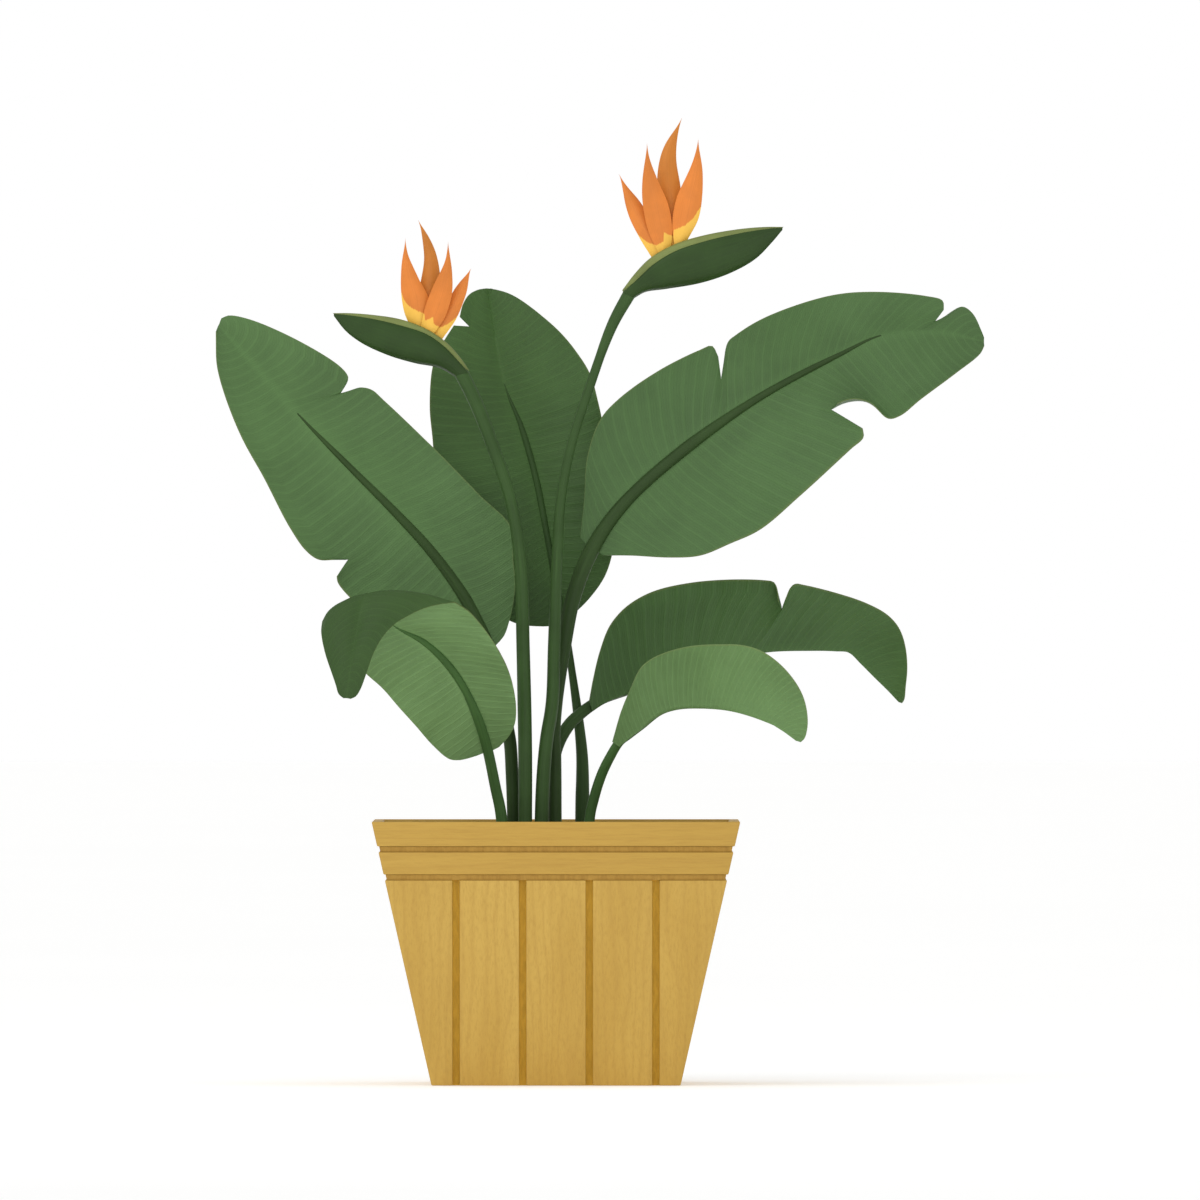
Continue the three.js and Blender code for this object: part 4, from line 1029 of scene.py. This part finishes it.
def beak_part(name, flower, lower, upper, section):
    """A closed loft along a beak. section(share, turn, width, rise) gives a point across and up."""
    parts = FLOWERS[flower]
    low_line, high_line = level_path(parts[lower]), level_path(parts[upper])
    point_depth, stem_depth = parts["beak_depths"]

    def place(u, v):
        row = round(v * BEAK_ROWS)
        share = reach_of(row, BEAK_ROWS)
        foot = low_line.at(share)
        rise = high_line.at(share) - foot
        height = rise.length
        width = 2 * along(parts["beak_half_widths"], share)
        across, up = section(share, 2 * u - 1, width, height)
        if row in (0, BEAK_ROWS):
            across, up = 0, height / 2
        depth = point_depth + (stem_depth - point_depth) * share
        return (foot + rise * (up / height) + Vector((0, depth + across, 0))) * MM

    return closed_shape(name, BEAK_SIDES, BEAK_ROWS, place, SMOOTH_BEAK)


def sheath_section(share, turn, width, height):
    """A keel below and round shoulders above. turn runs from -1 to 1 round it, and 0 is the keel."""
    side = math.copysign(1, turn)
    reach = abs(turn)
    if reach < SHEATH_WRAP:
        spot = SHEATH_SIDE.at(reach / SHEATH_WRAP)
        return side * spot.x * width, spot.z * height
    return side * SHEATH_TOP * width * (1 - (reach - SHEATH_WRAP) / (1 - SHEATH_WRAP)), height


def lip_section_for(slit):
    def section(share, turn, width, height):
        """Two rolled edges with the slit between them, closing up towards the ends of the slit."""
        gape = math.sin(math.pi * within((share - slit[0]) / (slit[1] - slit[0])))
        half = (SLIT_NARROW + SLIT_GAPE * gape) * min(gape * 4, 1)
        floor = 1 - SLIT_DEPTH * min(gape * 3, 1)
        width *= min(share / LIP_FADE, (1 - share) / LIP_FADE, 1.0) ** 0.5
        outline = [
            (0, -0.4), (0.4 * width, -0.4), (0.44 * width, 0.35 * height), (0.42 * width, 0.75 * height),
            (0.33 * width, height), (half + 0.25 * max(0.33 * width - half, 0), 0.98 * height),
            (half, (0.5 + 0.5 * floor) * height), (0.6 * half, floor * height), (0, floor * height)]
        spot = abs(turn) * (len(outline) - 1)
        low = min(int(spot), len(outline) - 2)
        (x0, z0), (x1, z1) = outline[low], outline[low + 1]
        side = math.copysign(1, turn)
        return side * (x0 + (x1 - x0) * (spot - low)), z0 + (z1 - z0) * (spot - low)
    return section


def beak_finish(name, colour, warm):
    """Waxy green with fine lines along the beak and a little warmth towards the slit."""
    finish = Finish(name, Specular_IOR_Level=0.2)
    around, lengthwise = surface(finish)
    fibre = threads(finish, around * BEAK_THREADS[0], lengthwise * BEAK_THREADS[1])
    patch = finish.noise(finish.place(), BEAK_PATCHES)
    base = finish.patches(patch, tinted(colour, 0.93), tinted(colour, 1.07))
    base = finish.mix(fibre.between(0.45, 0.7) * 0.3, base, tinted(colour, 1.22))
    top = ((around - 0.5).size() * 2).between(0.72, 0.98)
    finish.paint("Base Color", finish.mix(top * 0.5, base, linear(*warm)))
    finish.paint("Roughness", fibre * 0.14 + 0.36)
    finish.relief(fibre, depth=0.0003, strength=0.6)
    return finish.material


sheath_green = beak_finish("sheath_green", SHEATH_GREEN, SHEATH_WARM)
lip_olive = beak_finish("lip_olive", LIP_OLIVE, LIP_WARM)
for flower, parts in FLOWERS.items():
    sheath = beak_part(f"{flower}_beak_sheath", flower, "keel", "band", sheath_section)
    sheath.data.materials.append(sheath_green)
    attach(sheath, "root")
    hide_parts(f"flower_{flower}_beak")
    lip = beak_part(f"{flower}_beak_lip", flower, "band", "top", lip_section_for(parts["slit"]))
    lip.data.materials.append(lip_olive)
    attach(lip, "root")
    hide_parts(f"flower_{flower}_lip")


# ----------------------------------------------------------
# The sepals: firm, pointed and keeled, three orange and one amber to a flower, fanned up out of the
# slit. Their feet are yellow, and the yellow ends in points.

# left and right are a sepal's two edges, from its foot up, and depths are the y of its foot and tip.
SEPALS = {
    "left": {
        "orange_1": {
            "depths": (-31.7, -40),
            "left": [(-145, 753), (-152, 772), (-155, 794), (-154, 824), (-151, 846)],
            "right": [(-132, 748), (-126, 766), (-127, 784), (-137, 804), (-146.5, 826), (-150.3, 845)]},
        "amber": {
            "depths": (-29.6, -16),
            "left": [(-137, 748), (-140, 774), (-136, 798), (-132, 826), (-136, 850), (-139, 863)],
            "right": [(-129, 746), (-121, 774), (-116, 798), (-118, 822), (-127, 848), (-137, 864)]},
        "orange_2": {
            "depths": (-34.2, -54),
            "left": [(-136, 748), (-132, 772), (-124, 794), (-112, 820), (-108.6, 841)],
            "right": [(-125, 744), (-111, 766), (-104, 790), (-104, 814), (-107, 842)]},
        "orange_3": {
            "depths": (-30.6, -30),
            "left": [(-128, 744), (-119, 764), (-107, 785), (-95, 804), (-86, 815)],
            "right": [(-117, 738), (-100, 764), (-91, 786), (-86, 804), (-84, 815)]},
    },
    "right": {
        "orange_1": {
            "depths": (-34.6, -30),
            "left": [(99, 818), (84, 844), (73, 866), (66, 892), (62, 909)],
            "right": [(110, 826), (99, 856), (86.3, 877.8), (74, 894), (63.4, 909.6)]},
        "orange_2": {
            "depths": (-37.2, -58),
            "left": [(104, 825), (92, 852), (86, 884), (87, 914), (90, 940)],
            "right": [(114, 829), (116, 852), (112, 878), (100.6, 904.7), (94.8, 922.5), (91.4, 940)]},
        "amber": {
            "depths": (-34, -20),
            "left": [(112, 828), (105, 864), (101, 906), (108, 938), (125, 966)],
            "right": [(122, 832), (128, 868), (124, 898), (120, 928), (127, 966)]},
        "orange_3": {
            "depths": (-39, -46),
            "left": [(119, 832), (116, 858), (120, 884), (134, 916), (141, 944)],
            "right": [(128, 836), (142, 864), (146, 888), (146, 918), (143, 944)]},
    },
}

SEPAL_ROOT = 7
SEPAL_MIDDLE = 2.0
SEPAL_EDGE = 0.7
SEPAL_FOLD = 12
SEPAL_LEAN_POWER = 1.6
SEPAL_ROWS = 70
SEPAL_SIDES = 24
SEPAL_POINT = 0.3
SMOOTH_SEPAL = math.radians(50)
# Cells of noise across a sepal and along it, and patches in a metre.
SEPAL_THREADS, SEPAL_PATCHES = (22, 2), 30
ORANGE, AMBER, YELLOW = (219, 128, 52), (199, 122, 44), (244, 191, 79)
# The ragged line where the yellow ends, across each whole fan, and how soft and how broken it is.
YELLOW_LINES = {
    "left": [(-154.2, 790.5), (-152.2, 783.5), (-148.2, 778.5), (-143.2, 774.5), (-131.4, 769),
             (-131, 762.5), (-122.8, 766), (-122.4, 759.5), (-116.2, 755.5), (-109.2, 758.5),
             (-101.2, 764.5), (-97.2, 768.5)],
    "right": [(77.8, 853.5), (83.8, 846.5), (91.8, 840.5), (99.8, 837.5), (107.2, 841.5), (107.6, 850.5),
              (117, 846.5), (117.4, 853), (128.8, 857.5), (136.8, 864.5), (143.8, 875.5)],
}
YELLOW_EDGE = 0.0007
YELLOW_BREAK = 0.004


def sepal_piece(name, shape):
    rooted = ([(edge[0][0], edge[0][1] - SEPAL_ROOT), *edge] for edge in (shape["left"], shape["right"]))
    left, right = (level_path(edge) for edge in rooted)
    foot, tip = shape["depths"]

    def place(u, v):
        """u runs from the left edge over the front to the right edge, and back behind."""
        row = round(v * SEPAL_ROWS)
        reach = reach_of(row, SEPAL_ROWS)
        front = u <= 0.5
        closing = min((1 - reach) / SEPAL_POINT, 1.0)
        pinch = closing * (2 - closing)
        side = 0.5 + (2 * u - 0.5 if front else 1.5 - 2 * u) * pinch
        wall = SEPAL_EDGE + (SEPAL_MIDDLE - SEPAL_EDGE) * (1 - abs(2 * side - 1))
        if row in (0, SEPAL_ROWS):
            side, wall = 0.5, 0
        spot = left.at(reach).lerp(right.at(reach), side)
        fold = SEPAL_FOLD * side * (1 - side) * math.sin(math.pi * reach)
        depth = foot + (tip - foot) * reach ** SEPAL_LEAN_POWER - fold + (-wall if front else wall) / 2
        return Vector((spot.x, depth, spot.z)) * MM

    return closed_shape(name, SEPAL_SIDES, SEPAL_ROWS, place, SMOOTH_SEPAL)


def sepal_finish(name, colour, yellow_line):
    """Satin orange with fine lengthwise lines, and yellow below a ragged line across the whole fan."""
    finish = Finish(name, Specular_IOR_Level=0.3)
    around, up = surface(finish)
    across = 1 - (around - 0.5).size() * 2
    fibre = threads(finish, across * SEPAL_THREADS[0], up * SEPAL_THREADS[1])
    patch = finish.noise(finish.place(), SEPAL_PATCHES)
    base = finish.patches(patch, tinted(colour, 0.96), tinted(colour, 1.04))
    base = finish.mix(fibre.between(0.45, 0.7) * 0.3, base, tinted(colour, 0.88))
    x_at, _, height = axes(finish.place())
    (first_x, _), (last_x, _) = yellow_line[0], yellow_line[-1]
    line = finish.node("ShaderNodeValToRGB", {}, {"Fac": (x_at / MM - first_x) / (last_x - first_x)})
    stops = line.socket.node.color_ramp.elements
    for index, (x, z) in enumerate(yellow_line):
        share = (x - first_x) / (last_x - first_x)
        stop = stops[index] if index < 2 else stops.new(share)
        stop.position = share
        stop.color = (z * MM, z * MM, z * MM, 1)
    below = (height - line + (fibre - 0.5) * YELLOW_BREAK).between(YELLOW_EDGE, -YELLOW_EDGE)
    finish.paint("Base Color", finish.mix(below, base, linear(*YELLOW)))
    finish.paint("Roughness", fibre * 0.16 + 0.4)
    finish.relief(fibre, depth=0.0003, strength=0.6)
    return finish.material


for flower, sepals in SEPALS.items():
    for sepal, shape in sepals.items():
        piece = sepal_piece(f"{flower}_sepal_{sepal}", shape)
        colour = AMBER if sepal == "amber" else ORANGE
        piece.data.materials.append(
            sepal_finish(f"{flower}_{sepal}_satin", colour, YELLOW_LINES[flower]))
        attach(piece, "root")
        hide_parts(f"flower_{flower}_sepal_{sepal}")
        "sepal_amber" if sepal == "amber" else "sepal_orange"
